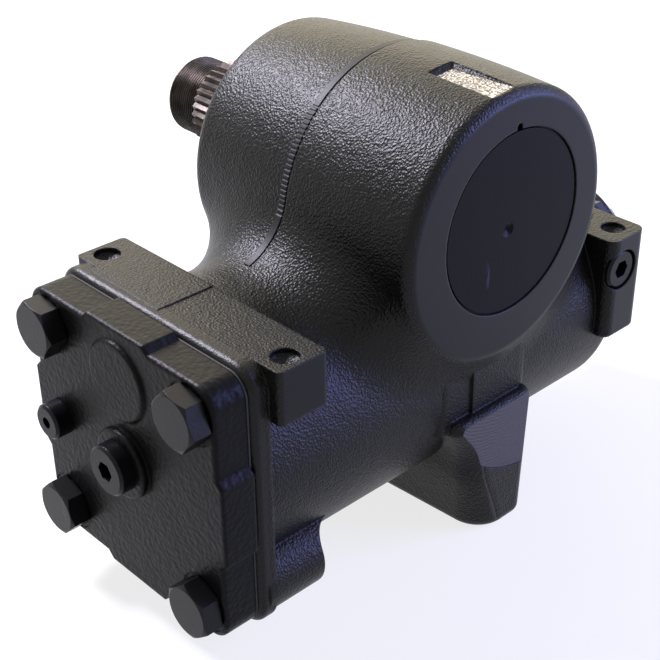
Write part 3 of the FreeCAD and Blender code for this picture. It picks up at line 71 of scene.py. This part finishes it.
def add_node(tree, kind, inputs=None, output=0, **settings):
    """Adds a node with its settings, links or sets its inputs, and gives one of its outputs, if it has any.

    A Mix node has numbered inputs: 0 is the share, 2 and 3 are its two values, and 6 and 7 its two colours.
    """
    node = tree.nodes.new("ShaderNode" + kind)
    for name, value in settings.items():
        setattr(node, name, value)
    for name, value in (inputs or {}).items():
        if isinstance(value, bpy.types.NodeSocket):
            tree.links.new(value, node.inputs[name])
        else:
            node.inputs[name].default_value = value
    return node.outputs[output] if node.outputs else None


def start_material(name):
    """An empty material, and the place in the CAD frame that its patterns follow."""
    material = bpy.data.materials.new(name)
    material.use_nodes = True
    material.node_tree.nodes.clear()
    return material, material.node_tree, add_node(material.node_tree, "TexCoord", output="Object")


def finish_material(tree, **inputs):
    """The surface shader, whose inputs are named with _ for a space, and its output."""
    named = {name.replace("_", " "): value for name, value in inputs.items()}
    add_node(tree, "OutputMaterial", {"Surface": add_node(tree, "BsdfPrincipled", named)})


def along_axes(tree, place):
    """The three coordinates of a place."""
    return [add_node(tree, "SeparateXYZ", {0: place}, output=axis) for axis in "XYZ"]


def band(tree, value, low, high, soft):
    """1 where a value lies between two limits, falling to 0 over a soft edge outside them."""
    rise = add_node(tree, "MapRange", {"Value": value, "From Min": low - soft, "From Max": low + soft},
                    interpolation_type="SMOOTHSTEP")
    fall = add_node(tree, "MapRange", {"Value": value, "From Min": high + soft, "From Max": high - soft},
                    interpolation_type="SMOOTHSTEP")
    return add_node(tree, "Math", {0: rise, 1: fall}, operation="MULTIPLY")


def sand_skin(tree, place, pebble):
    """The height of a sand-cast skin: round pits of a given width, grit in them, and lumps seven times wider."""
    pits = add_node(tree, "TexVoronoi", {"Vector": place, "Scale": 1 / pebble, "Smoothness": 0.7},
                    feature="SMOOTH_F1")
    grit = add_node(tree, "TexNoise", {"Vector": place, "Scale": 0.8 / pebble, "Detail": 3.0,
                                       "Roughness": 0.6})
    lumps = add_node(tree, "TexNoise", {"Vector": place, "Scale": 0.14 / pebble, "Detail": 1.0})
    fine = add_node(tree, "Math", {0: grit, 1: 0.8, 2: pits}, operation="MULTIPLY_ADD")
    return add_node(tree, "Math", {0: lumps, 1: 0.8, 2: fine}, operation="MULTIPLY_ADD")


def eased_bump(tree, height, distance, edge_radius):
    """A normal bent by a height in metres, over edges that the paint eases by a small radius."""
    edge = add_node(tree, "Bevel", {"Radius": edge_radius}, samples=4)
    return add_node(tree, "Bump", {"Height": height, "Distance": distance, "Strength": 1.0, "Normal": edge})


def faces_along(tree, axis, none, whole):
    """1 where the surface faces along an axis: from 0 at one cosine of the angle to 1 at another."""
    normal = add_node(tree, "NewGeometry", output="Normal")
    cosine = add_node(tree, "SeparateXYZ", {0: normal}, output=axis)
    return add_node(tree, "MapRange", {"Value": cosine, "From Min": none, "From Max": whole})


def milled_mask(tree, y):
    """1 on the faces that were milled flush with the front plane: those near it that face along -Y."""
    near = band(tree, y, *FRONT_PLANE_Y, 0.0001)
    return add_node(tree, "Math", {0: near, 1: faces_along(tree, "Y", -0.93, -0.97)}, operation="MULTIPLY")


def bare_flat_mask(tree, place, x, y, z):
    """1 on the floor of the small flat on top, whose bare patch ends in a line with 1 mm wide waves."""
    ragged = add_node(tree, "TexNoise", {"Vector": place, "Scale": 900.0})
    shift = add_node(tree, "Math", {0: ragged, 1: RAGGED_EDGE, 2: -RAGGED_EDGE / 2}, operation="MULTIPLY_ADD")
    across = band(tree, add_node(tree, "Math", {0: x, 1: shift}), *TOP_FLAT_X, SOFT_EDGE)
    along = band(tree, add_node(tree, "Math", {0: y, 1: shift}), *TOP_FLAT_Y, SOFT_EDGE)
    up = faces_along(tree, "Z", 0.985, 0.99)
    high = add_node(tree, "MapRange", {"Value": z, "From Min": TOP_FLAT_Z[0], "From Max": TOP_FLAT_Z[1],
                                       "To Max": up})
    patch = add_node(tree, "Math", {0: across, 1: along}, operation="MULTIPLY")
    return add_node(tree, "Math", {0: patch, 1: high}, operation="MULTIPLY")


def cutter_arcs(tree, place):
    """The height of a cutter's arcs: the sine of the distance to its middle, which wavers every 5 mm."""
    waver = add_node(tree, "TexNoise", {"Vector": place, "Scale": 220.0, "Detail": 2.0})
    away = add_node(tree, "VectorMath", {0: place, 1: CUTTER_MIDDLE}, operation="DISTANCE", output="Value")
    away = add_node(tree, "Math", {0: waver, 1: CUTTER_WAVER, 2: away}, operation="MULTIPLY_ADD")
    phase = add_node(tree, "Math", {0: away, 1: 2 * math.pi / CUTTER_FEED}, operation="MULTIPLY")
    return add_node(tree, "Math", {0: phase}, operation="SINE")


def bare_iron(tree, place):
    """Bare milled iron with dark pores, which are drawn 1 mm wide because real ones are too fine to show."""
    noise = add_node(tree, "TexNoise", {"Vector": place, "Scale": 1100.0, "Detail": 3.0, "Roughness": 0.7})
    speckle = add_node(tree, "MapRange", {"Value": noise, "From Min": 0.47, "From Max": 0.56})
    return add_node(tree, "Mix", {0: speckle, 6: hex_colour("3c3830"), 7: hex_colour("c9c3b6")}, **AS_COLOUR)


def housing_enamel():
    """Semi-gloss black enamel over 1 mm pits. It looks black face on and takes a warm sheen at a slant."""
    material, tree, place = start_material("black_enamel_on_sand_cast_iron")
    x, y, z = along_axes(tree, place)
    milled = milled_mask(tree, y)
    flat = bare_flat_mask(tree, place, x, y, z)
    low_down = add_node(tree, "MapRange", {"Value": z, "From Min": LUG_SPOT_TOP_Z + LUG_SPOT_EDGE,
                                           "From Max": LUG_SPOT_TOP_Z - LUG_SPOT_EDGE})
    milled_spot_and_sheen = add_node(tree, "Math", {0: milled, 1: low_down}, operation="MULTIPLY")

    # The grain is all but gone on the milled faces and is softer on the rim at the end cover
    smooth = add_node(tree, "Math", {0: milled, 1: flat}, operation="MAXIMUM")
    kept = add_node(tree, "Math", {0: smooth, 1: MILLED_GRAIN - 1.0, 2: 1.0}, operation="MULTIPLY_ADD")
    rim = add_node(tree, "MapRange", {"Value": x, "From Min": RIM_X[0], "From Max": RIM_X[1],
                                      "To Min": RIM_GRAIN})
    kept = add_node(tree, "Math", {0: kept, 1: rim}, operation="MULTIPLY")
    height = add_node(tree, "Math", {0: sand_skin(tree, place, PEBBLE), 1: kept}, operation="MULTIPLY")
    cut = add_node(tree, "Math", {0: cutter_arcs(tree, place), 1: milled_spot_and_sheen}, operation="MULTIPLY")
    height = add_node(tree, "Math", {0: cut, 1: CUTTER_DEPTH, 2: height}, operation="MULTIPLY_ADD")

    # The coat's thickness varies in clouds about 45 mm wide. The lower part of the lug's milled spot is painted
    # a matte grey-brown, a painted sheen
    clouds = add_node(tree, "TexNoise", {"Vector": place, "Scale": 22.0, "Detail": 3.0, "Roughness": 0.6})
    paint = add_node(tree, "Mix", {0: clouds, 6: hex_colour("090909"), 7: hex_colour("13120e")}, **AS_COLOUR)
    # Painted shade with a bluish painted reflection: the milled faces are painted a darker, bluer black
    paint = add_node(tree, "Mix", {0: milled, 6: paint, 7: hex_colour("08090d")}, **AS_COLOUR)
    # Painted sheen: the lug's milled spot takes a matte grey-brown in place of the light that it reflects
    paint = add_node(tree, "Mix", {0: milled_spot_and_sheen, 6: paint, 7: hex_colour("5c564a")}, **AS_COLOUR)
    colour = add_node(tree, "Mix", {0: flat, 6: paint, 7: bare_iron(tree, place)}, **AS_COLOUR)
    gloss = add_node(tree, "MapRange", {"Value": clouds, "To Min": 0.31, "To Max": 0.42})
    gloss = add_node(tree, "Mix", {0: smooth, 2: gloss, 3: 0.32})
    gloss = add_node(tree, "Mix", {0: milled_spot_and_sheen, 2: gloss, 3: 0.62})
    finish_material(tree, Base_Color=colour, Roughness=gloss, Specular_IOR_Level=0.17,
                    Metallic=add_node(tree, "Math", {0: flat, 1: 0.3}, operation="MULTIPLY"),
                    Normal=eased_bump(tree, height, PEBBLE_DEPTH, PAINT_EDGE))
    return material


def dress(material, *nodes):
    """Gives CAD nodes a material, on the only slot that they keep."""
    for name in nodes:
        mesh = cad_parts[name].data
        mesh.materials.clear()
        mesh.materials.append(material)


casting_enamel = housing_enamel()
dress(casting_enamel, "housing")


# The parting line was dressed with a file: a narrow smooth band beside the step where the two mould halves met.
# It follows the rear half over the sector's barrel and down the blend, and a chatter of file marks crosses it.

BARREL_X, BARREL_Z, REAR_RADIUS = -0.0019, -0.003, 0.0609
BLEND_X, BLEND_Z, BLEND_RADIUS = -0.0914, 0.013, 0.030
BAND_ACROSS = (-0.1120, -0.1117, -0.1083, -0.1078)
BAND_RISES = (-0.0004, 0.0004, 0.0003, -0.0004)
BAND_START, BAND_MEET, BLEND_TURN = math.radians(-26), math.radians(79.9), math.radians(62)
BARREL_STEPS, BLEND_STEPS = 640, 60
MARKS_FROM, MARKS_TO, MARK_PITCH = math.radians(41), math.radians(87), math.radians(2.0)
MARK_SHARE, MARK_DEPTH = 0.4, 0.0003


def filed_band():
    """The band's path is an arc on the barrel, then a hollow arc on the blend. Its section is a low flat ridge.

    On the barrel, the path is at barrel centre + radius * (-sin a, cos a). On the blend, it is at blend
    centre + blend radius * (sin b, -cos b), where b falls from the direction of the barrel. Among the marks,
    the top drops by a square wave of the way gone, as an angle on the barrel.
    """
    a = np.linspace(BAND_START, BAND_MEET, BARREL_STEPS)
    barrel_way = np.stack([-np.sin(a), np.cos(a)], 1)
    barrel = np.array([BARREL_X, BARREL_Z]) + REAR_RADIUS * barrel_way
    b = BAND_MEET - np.linspace(0.0, BLEND_TURN, BLEND_STEPS)[1:]
    blend_way = np.stack([-np.sin(b), np.cos(b)], 1)
    blend = np.array([BLEND_X, BLEND_Z]) - BLEND_RADIUS * blend_way
    path, way = np.concatenate([barrel, blend]), np.concatenate([barrel_way, blend_way])
    angle = np.concatenate([a, BAND_MEET + (BAND_MEET - b) * BLEND_RADIUS / REAR_RADIUS])
    marked = (angle > MARKS_FROM) & (angle < MARKS_TO) & ((angle / MARK_PITCH) % 1.0 < MARK_SHARE)
    rises = np.tile(BAND_RISES, (len(path), 1))
    rises[:, 1:3] -= MARK_DEPTH * marked[:, None]
    points = np.empty((len(path), 4, 3))
    points[:, :, 0] = path[:, :1] + way[:, :1] * rises
    points[:, :, 1] = BAND_ACROSS
    points[:, :, 2] = path[:, 1:] + way[:, 1:] * rises
    return points


def carried_section(points, flip=False):
    """Faces of a grid (steps, corners) whose section is closed round, with a cap at each end."""
    steps, corners = points.shape[:2]
    k, j = np.meshgrid(np.arange(steps - 1), np.arange(corners), indexing="ij")
    after = (j + 1) % corners
    quads = np.stack([k * corners + j, k * corners + after, (k + 1) * corners + after, (k + 1) * corners + j],
                     -1).reshape(-1, 4)
    caps = [np.arange(corners)[::-1], (steps - 1) * corners + np.arange(corners)]
    faces = [list(map(int, face)) for face in (*quads, *caps)]
    return [face[::-1] for face in faces] if flip else faces


def add_piece(name, points, faces, material, body):
    """A mesh object at the origin, riding a body, with one material."""
    mesh = bpy.data.meshes.new(name)
    mesh.from_pydata(points.reshape(-1, 3).tolist(), [], faces)
    mesh.materials.append(material)
    piece = bpy.data.objects.new(name, mesh)
    bpy.context.scene.collection.objects.link(piece)
    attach(piece, body)


def smooth_enamel(name, base, worn, roughness, film, specular):
    """Enamel on a smooth face: a film whose ripples are 1.5 mm wide and less than 0.1 mm high.

    Where it was rubbed, in patches about 20 mm wide, it has light scratches 4 mm wide and eight times as long.
    """
    material, tree, place = start_material(name)
    patches = add_node(tree, "TexNoise", {"Vector": place, "Scale": 45.0})
    rubbed = add_node(tree, "MapRange", {"Value": patches, "From Min": 0.56, "From Max": 0.70})
    stretched = add_node(tree, "Mapping", {"Vector": place, "Scale": (1.0, 1.0, 0.12)})
    streaks = add_node(tree, "TexNoise", {"Vector": stretched, "Scale": 260.0, "Detail": 3.0,
                                          "Roughness": 0.65})
    scratches = add_node(tree, "MapRange", {"Value": streaks, "From Min": 0.64, "From Max": 0.72,
                                            "To Max": rubbed})
    ripple = add_node(tree, "TexNoise", {"Vector": place, "Scale": 650.0, "Detail": 2.0})
    colour = add_node(tree, "Mix", {0: scratches, 6: hex_colour(base), 7: hex_colour(worn)}, **AS_COLOUR)
    gloss = add_node(tree, "MapRange", {"Value": ripple, "To Min": roughness - 0.05,
                                        "To Max": roughness + 0.07})
    finish_material(tree, Base_Color=colour, Roughness=gloss, Specular_IOR_Level=specular,
                    Normal=eased_bump(tree, ripple, film, 0.0004))
    return material


filed_enamel = smooth_enamel("black_enamel_on_filed_iron", base="121214", worn="3c3c40", roughness=0.50,
                             film=0.00006, specular=0.2)
band_points = filed_band()
add_piece("parting_line_band", band_points, carried_section(band_points), filed_enamel, "housing")


# The top flat sits in a dip of the casting, whose sides run down to it in a hollow curve. They are strips laid
# on three sides of the flat, and have the housing's enamel.

DIP_X, DIP_Y, DIP_FRONT_Y = (-0.01385, 0.00025), -0.14395, -0.1775
DIP_SIDE, DIP_END, DIP_SINK = 0.0020, 0.0028, 0.0003
DIP_ABOVE_FLAT, DIP_UNDER_BARREL = 0.00002, 0.00003
STEPS_DOWN, STEPS_A_SIDE = 9, 40
FLAT_RADIUS, FLAT_TILT = 0.0595, math.radians(4.7)
FRONT_HALF_Y = (-0.1785, -0.1775, -0.160, -0.1445, -0.130, -0.1136)
FRONT_HALF_RADIUS = (0.0592, 0.0597, 0.06105, 0.0617, 0.06203, 0.0621)


def dip_sides():
    """Three sides of a rectangle, each a strip that falls as the square of the way left to the flat.

    With t from 0 at the wall to 1 on the flat, the height is flat + (barrel - flat) * (1 - t)^2. The barrel's
    height at x is sqrt(R^2 - x^2) about its centre. The flat is a plane tilted about Y. Two corners below
    close the section.
    """
    t = np.linspace(0.0, 1.0, STEPS_DOWN)[:, None]
    left, right = DIP_X[0] + DIP_SIDE * t, DIP_X[1] - DIP_SIDE * t
    rear = DIP_Y - DIP_END * t
    way = np.linspace(0.0, 1.0, STEPS_A_SIDE)[None, :]
    x = np.concatenate([left + 0 * way, left + (right - left) * way, right + 0 * way], 1)
    y = np.concatenate([DIP_FRONT_Y + (rear - DIP_FRONT_Y) * way, rear + 0 * way,
                        rear + (DIP_FRONT_Y - rear) * way], 1)
    flat = (FLAT_RADIUS + math.sin(FLAT_TILT) * (x - BARREL_X)) / math.cos(FLAT_TILT) + BARREL_Z
    barrel = np.sqrt(np.interp(y, FRONT_HALF_Y, FRONT_HALF_RADIUS) ** 2 - (x - BARREL_X) ** 2) + BARREL_Z
    drop = np.maximum(barrel - DIP_UNDER_BARREL - flat - DIP_ABOVE_FLAT, 0.0)
    grid = np.stack([x, y, flat + DIP_ABOVE_FLAT + drop * (1 - t) ** 2], -1)
    under = grid[[-1, 0]].copy()
    under[..., 2] = flat[[-1, 0]] - DIP_SINK
    return np.concatenate([grid, under]).transpose(1, 0, 2)


dip = dip_sides()
add_piece("top_flat_dip", dip, carried_section(dip), casting_enamel, "housing")


# The end cover is cast iron too, from a finer mould, and has the same enamel, with a fibre gasket behind it.
# Its screws, its plugs and the dust cap on the input side are steel, painted in place, so their edges are
# eased.

def cover_enamel(name, pebble, depth, roughness, specular):
    """Enamel over a finer cast skin, in clouds about 33 mm wide: a more even black than the housing's."""
    material, tree, place = start_material(name)
    clouds = add_node(tree, "TexNoise", {"Vector": place, "Scale": 30.0, "Detail": 3.0, "Roughness": 0.6})
    colour = add_node(tree, "Mix", {0: clouds, 6: hex_colour("080809"), 7: hex_colour("0f0f0f")}, **AS_COLOUR)
    gloss = add_node(tree, "MapRange", {"Value": clouds, "To Min": roughness - 0.04,
                                        "To Max": roughness + 0.06})
    finish_material(tree, Base_Color=colour, Roughness=gloss, Specular_IOR_Level=specular,
                    Normal=eased_bump(tree, sand_skin(tree, place, pebble), depth, 0.0016))
    return material


def gasket_fibre():
    """Pressed fibre with paint soaked into its edge: dull, with strands about 1 mm wide and 3 mm long."""
    material, tree, place = start_material("pressed_fibre_gasket")
    stretched = add_node(tree, "Mapping", {"Vector": place, "Scale": (1.0, 0.4, 0.4)})
    strands = add_node(tree, "TexNoise", {"Vector": stretched, "Scale": 900.0, "Detail": 3.0,
                                          "Roughness": 0.7})
    colour = add_node(tree, "Mix", {0: strands, 6: hex_colour("0f0f10"), 7: hex_colour("24221e")}, **AS_COLOUR)
    finish_material(tree, Base_Color=colour, Roughness=0.7, Normal=eased_bump(tree, strands, 0.0001, 0.0002))
    return material


dress(cover_enamel("black_enamel_on_fine_cast_iron", pebble=0.0022, depth=0.00018, roughness=0.34,
                   specular=0.08), "end_cover")
dress(gasket_fibre(), "end_cover_gasket")
dress(smooth_enamel("black_enamel_on_steel_screws", base="0d0d0e", worn="4c4a46", roughness=0.34,
                    film=0.00005, specular=0.17),
      *["end_cover_bolt_%d" % k for k in range(1, 5)], *["valve_housing_bolt_%d" % k for k in range(1, 5)])
dress(smooth_enamel("black_enamel_on_steel_plugs", base="0a0a0d", worn="4c4a4c", roughness=0.34,
                    film=0.00004, specular=0.14),
      "centre_plug", "bleed_plug", "block_plug", "input_dust_cap")


# The side cover is a turned iron disc, held in its bore by a spring ring. Its flat face takes a thin coat, so
# it is the smoothest place on the gear, with a few light scratches. Its black is painted darker and bluer than
# the housing's, a painted shade with a bluish painted reflection.

dress(smooth_enamel("thin_black_enamel_on_turned_iron", base="07080b", worn="4a4a52", roughness=0.36,
                    film=0.00004, specular=0.06),
      "side_cover", "side_cover_ring")


# The output shaft is case-hardened steel with an oily brown film. Its end has an M38 x 1.5 thread, which stands
# on the CAD's plain cylinder as one wound ridge.

THREAD_PITCH, CREST_RADIUS, BODY_RADIUS, ROOT_DEPTH = 0.0015, 0.019, 0.0185, 0.0002
THREAD_START, THREAD_END, THREAD_CHAMFER = 0.0012, 0.0236, 0.0012
THREAD_SECTION, THREAD_RUN_OUT, STEPS_A_TURN = (-0.42, -0.08, 0.08, 0.42), 0.4, 120


def oiled_steel(name, base, stain, roughness, metallic=1.0):
    """Machined steel with an oily film that darkens it in patches 8 mm wide.

    Its tooling marks are drawn 0.6 mm wide, because real ones are too fine to show.
    """
    material, tree, place = start_material(name)
    oil = add_node(tree, "TexNoise", {"Vector": place, "Scale": 120.0, "Detail": 4.0, "Roughness": 0.65})
    film = add_node(tree, "MapRange", {"Value": oil, "From Min": 0.38, "From Max": 0.62})
    tooling = add_node(tree, "TexNoise", {"Vector": place, "Scale": 1600.0, "Detail": 2.0})
    colour = add_node(tree, "Mix", {0: film, 6: hex_colour(base), 7: hex_colour(stain)}, **AS_COLOUR)
    gloss = add_node(tree, "MapRange", {"Value": tooling, "To Min": roughness - 0.06,
                                        "To Max": roughness + 0.08})
    finish_material(tree, Base_Color=colour, Metallic=metallic, Roughness=gloss,
                    Normal=eased_bump(tree, tooling, 0.00004, 0.0002))
    return material


def thread_ridge():
    """A helix of radius r and pitch p: (r sin t, p t / 2 pi, r cos t), with a section of four corners.

    The crest sinks to the root over 0.4 turns at both ends, and follows the chamfer at the shaft's end.
    """
    turns = (THREAD_END - THREAD_START - THREAD_PITCH) / THREAD_PITCH
    t = np.linspace(0.0, turns, int(turns * STEPS_A_TURN) + 1)
    middle = THREAD_START + THREAD_PITCH / 2 + t * THREAD_PITCH
    run_out = np.clip(np.minimum(t, turns - t) / THREAD_RUN_OUT, 0.0, 1.0)
    past_edge = np.clip((middle - (THREAD_END - THREAD_CHAMFER)) / THREAD_CHAMFER, 0.0, 1.0)
    base = BODY_RADIUS - ROOT_DEPTH - past_edge * THREAD_CHAMFER
    crest = base + (CREST_RADIUS - BODY_RADIUS + ROOT_DEPTH) * run_out
    radius = np.stack([base, crest, crest, base], 1)
    along = middle[:, None] + np.array(THREAD_SECTION) * THREAD_PITCH
    turn = 2 * math.pi * t[:, None]
    return np.stack([radius * np.sin(turn), along, radius * np.cos(turn)], -1)


shaft_steel = oiled_steel("oily_case_hardened_steel", base="3b332e", stain="1d1916", roughness=0.34,
                          metallic=0.9)
dress(shaft_steel, "sector_shaft")
ridge = thread_ridge()
add_piece("output_thread_ridge", ridge, carried_section(ridge, flip=True), shaft_steel, "sector")


# The input side has a valve housing of cast iron, screwed on and painted like the rest. The input shaft that
# comes out of it and the torsion bar in the shaft are steel, turned and left bare.

dress(cover_enamel("black_enamel_on_cast_valve_housing", pebble=0.0016, depth=0.0005, roughness=0.34,
                   specular=0.15), "valve_housing")
dress(oiled_steel("bare_turned_steel", base="a3a4a6", stain="6f6e6b", roughness=0.38), "input_shaft",
      "torsion_bar")


# The works inside run in oil. The piston, the worm and the valve are ground steel, the balls and the bearings
# are polished, and the seals are moulded nitrile rubber, pressed into their seats.

def nitrile_rubber():
    """Moulded black rubber: matte, with a bloom of dust in patches 4 mm wide."""
    material, tree, place = start_material("black_nitrile_rubber")
    dust = add_node(tree, "TexNoise", {"Vector": place, "Scale": 250.0, "Detail": 3.0, "Roughness": 0.6})
    colour = add_node(tree, "Mix", {0: dust, 6: hex_colour("121213"), 7: hex_colour("232221")}, **AS_COLOUR)
    finish_material(tree, Base_Color=colour, Roughness=0.7, Normal=eased_bump(tree, dust, 0.0001, 0.0002))
    return material


dress(oiled_steel("ground_steel", base="b4b4b4", stain="8e8d8a", roughness=0.28), "rack_piston", "worm",
      "piston_plug", "valve_sleeve")
dress(oiled_steel("polished_bearing_steel", base="c4c4c2", stain="a5a4a0", roughness=0.2),
      "sector_bearing_front", "sector_bearing_rear", "ball_circuit", "thrust_bearing_front",
      "thrust_bearing_rear", "input_bearing", "piston_ring")
dress(nitrile_rubber(), "output_seal", "dust_seal", "side_cover_seal", "valve_housing_seal", "input_seal")


# The studio is a pale floor with a white background, a large warm box behind the gear, a small bright one high
# behind it, and a large cool one at the front right. The floor and the world show white to the camera and in
# reflections.

AIM = Vector((-0.01, -0.11, -0.05))
WHITE = (1.0, 1.0, 1.0, 1.0)
FLOOR_HALF_WIDTH, FLOOR_GLOW, FLOOR_GLOW_FROM, FLOOR_GLOW_TO = 3.0, 0.78, 0.25, 0.9
CAMERA_AZIMUTH, CAMERA_ELEVATION, CAMERA_ROLL = math.radians(-42.96), math.radians(30.67), math.radians(-0.65)
CAMERA_PLACE, CAMERA_LENS, CAMERA_SENSOR = (-0.39263, -0.49260, 0.24475), 74.48, 36.0


def shows_background(tree):
    """1 for the rays that see the background: those from the camera, in gloss, and through glass."""
    rays = [add_node(tree, "LightPath", output=name)
            for name in ("Is Camera Ray", "Is Glossy Ray", "Is Transmission Ray")]
    either = add_node(tree, "Math", {0: rays[0], 1: rays[1]}, operation="MAXIMUM")
    return add_node(tree, "Math", {0: either, 1: rays[2]}, operation="MAXIMUM")


def add_floor():
    """A flat square under the lowest point. It keeps the gear's shadow, and is plain white further out."""
    ground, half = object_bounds()[0][2], FLOOR_HALF_WIDTH
    mesh = bpy.data.meshes.new("floor")
    mesh.from_pydata([(-half, -half, ground), (half, -half, ground), (half, half, ground),
                      (-half, half, ground)], [], [(0, 1, 2, 3)])
    floor = bpy.data.objects.new("floor", mesh)
    bpy.context.scene.collection.objects.link(floor)
    material, tree, place = start_material("pale_floor")
    seen = shows_background(tree)
    colour = add_node(tree, "Mix", {0: seen, 6: hex_colour("5a5a5c"), 7: hex_colour("7c7c7c")}, **AS_COLOUR)
    away = add_node(tree, "VectorMath", {0: place, 1: (AIM.x, AIM.y, ground)}, operation="DISTANCE",
                    output="Value")
    glow = add_node(tree, "MapRange", {"Value": away, "From Min": FLOOR_GLOW_FROM, "From Max": FLOOR_GLOW_TO,
                                       "To Min": FLOOR_GLOW, "To Max": 1.0})
    finish_material(tree, Base_Color=colour, Roughness=0.9, Emission_Color=WHITE,
                    Emission_Strength=add_node(tree, "Math", {0: seen, 1: glow}, operation="MULTIPLY"))
    mesh.materials.append(material)


def add_lamp(name, direction, distance, width, height, power, colour):
    """A soft box that faces the gear from a direction, and that no camera sees."""
    lamp = bpy.data.lights.new(name, "AREA")
    lamp.shape, lamp.size, lamp.size_y, lamp.energy = "RECTANGLE", width, height, power
    lamp.color = hex_colour(colour)[:3]
    holder = bpy.data.objects.new(name, lamp)
    holder.location = AIM + Vector(direction).normalized() * distance
    holder.rotation_euler = (AIM - holder.location).to_track_quat("-Z", "Y").to_euler()
    holder.visible_camera = False
    bpy.context.scene.collection.objects.link(holder)


def add_world():
    """White where the background shows, and a dimmer grey for the light on the gear."""
    world = bpy.data.worlds.new("studio")
    world.use_nodes = True
    tree = world.node_tree
    tree.nodes.clear()
    colour = add_node(tree, "Mix", {0: shows_background(tree), 6: hex_colour("747474"), 7: WHITE}, **AS_COLOUR)
    sky = add_node(tree, "Background", {"Color": colour, "Strength": 1.0})
    add_node(tree, "OutputWorld", {"Surface": sky})
    bpy.context.scene.world = world


def add_camera():
    """The camera that took the photograph, with its measured place, lens and tilt."""
    azimuth, elevation, roll = CAMERA_AZIMUTH, CAMERA_ELEVATION, CAMERA_ROLL
    back = Vector((math.sin(azimuth) * math.cos(elevation), -math.cos(azimuth) * math.cos(elevation),
                   math.sin(elevation)))
    right = Vector((math.cos(azimuth), math.sin(azimuth), 0.0))
    up = back.cross(right)
    right, up = right * math.cos(roll) + up * math.sin(roll), up * math.cos(roll) - right * math.sin(roll)
    data = bpy.data.cameras.new("camera")
    data.lens, data.sensor_width = CAMERA_LENS, CAMERA_SENSOR
    camera = bpy.data.objects.new("camera", data)
    axes = Matrix((right, up, back)).transposed().to_4x4()
    camera.matrix_world = Matrix.Translation(CAMERA_PLACE) @ axes
    bpy.context.scene.collection.objects.link(camera)
    bpy.context.scene.camera = camera


add_floor()
add_world()
add_lamp("ceiling_box", (0.586, 0.629, 0.51), distance=1.5, width=1.4, height=1.4, power=15.0, colour="ffefc8")
add_lamp("back_box", (-0.18, 0.68, 0.72), distance=1.3, width=0.4, height=0.32, power=44.0, colour="f0edff")
add_lamp("side_box", (0.64, -0.62, 0.30), distance=1.4, width=0.8, height=1.1, power=38.0, colour="9aa5ff")
add_camera()
bpy.context.scene.view_settings.view_transform = "Standard"
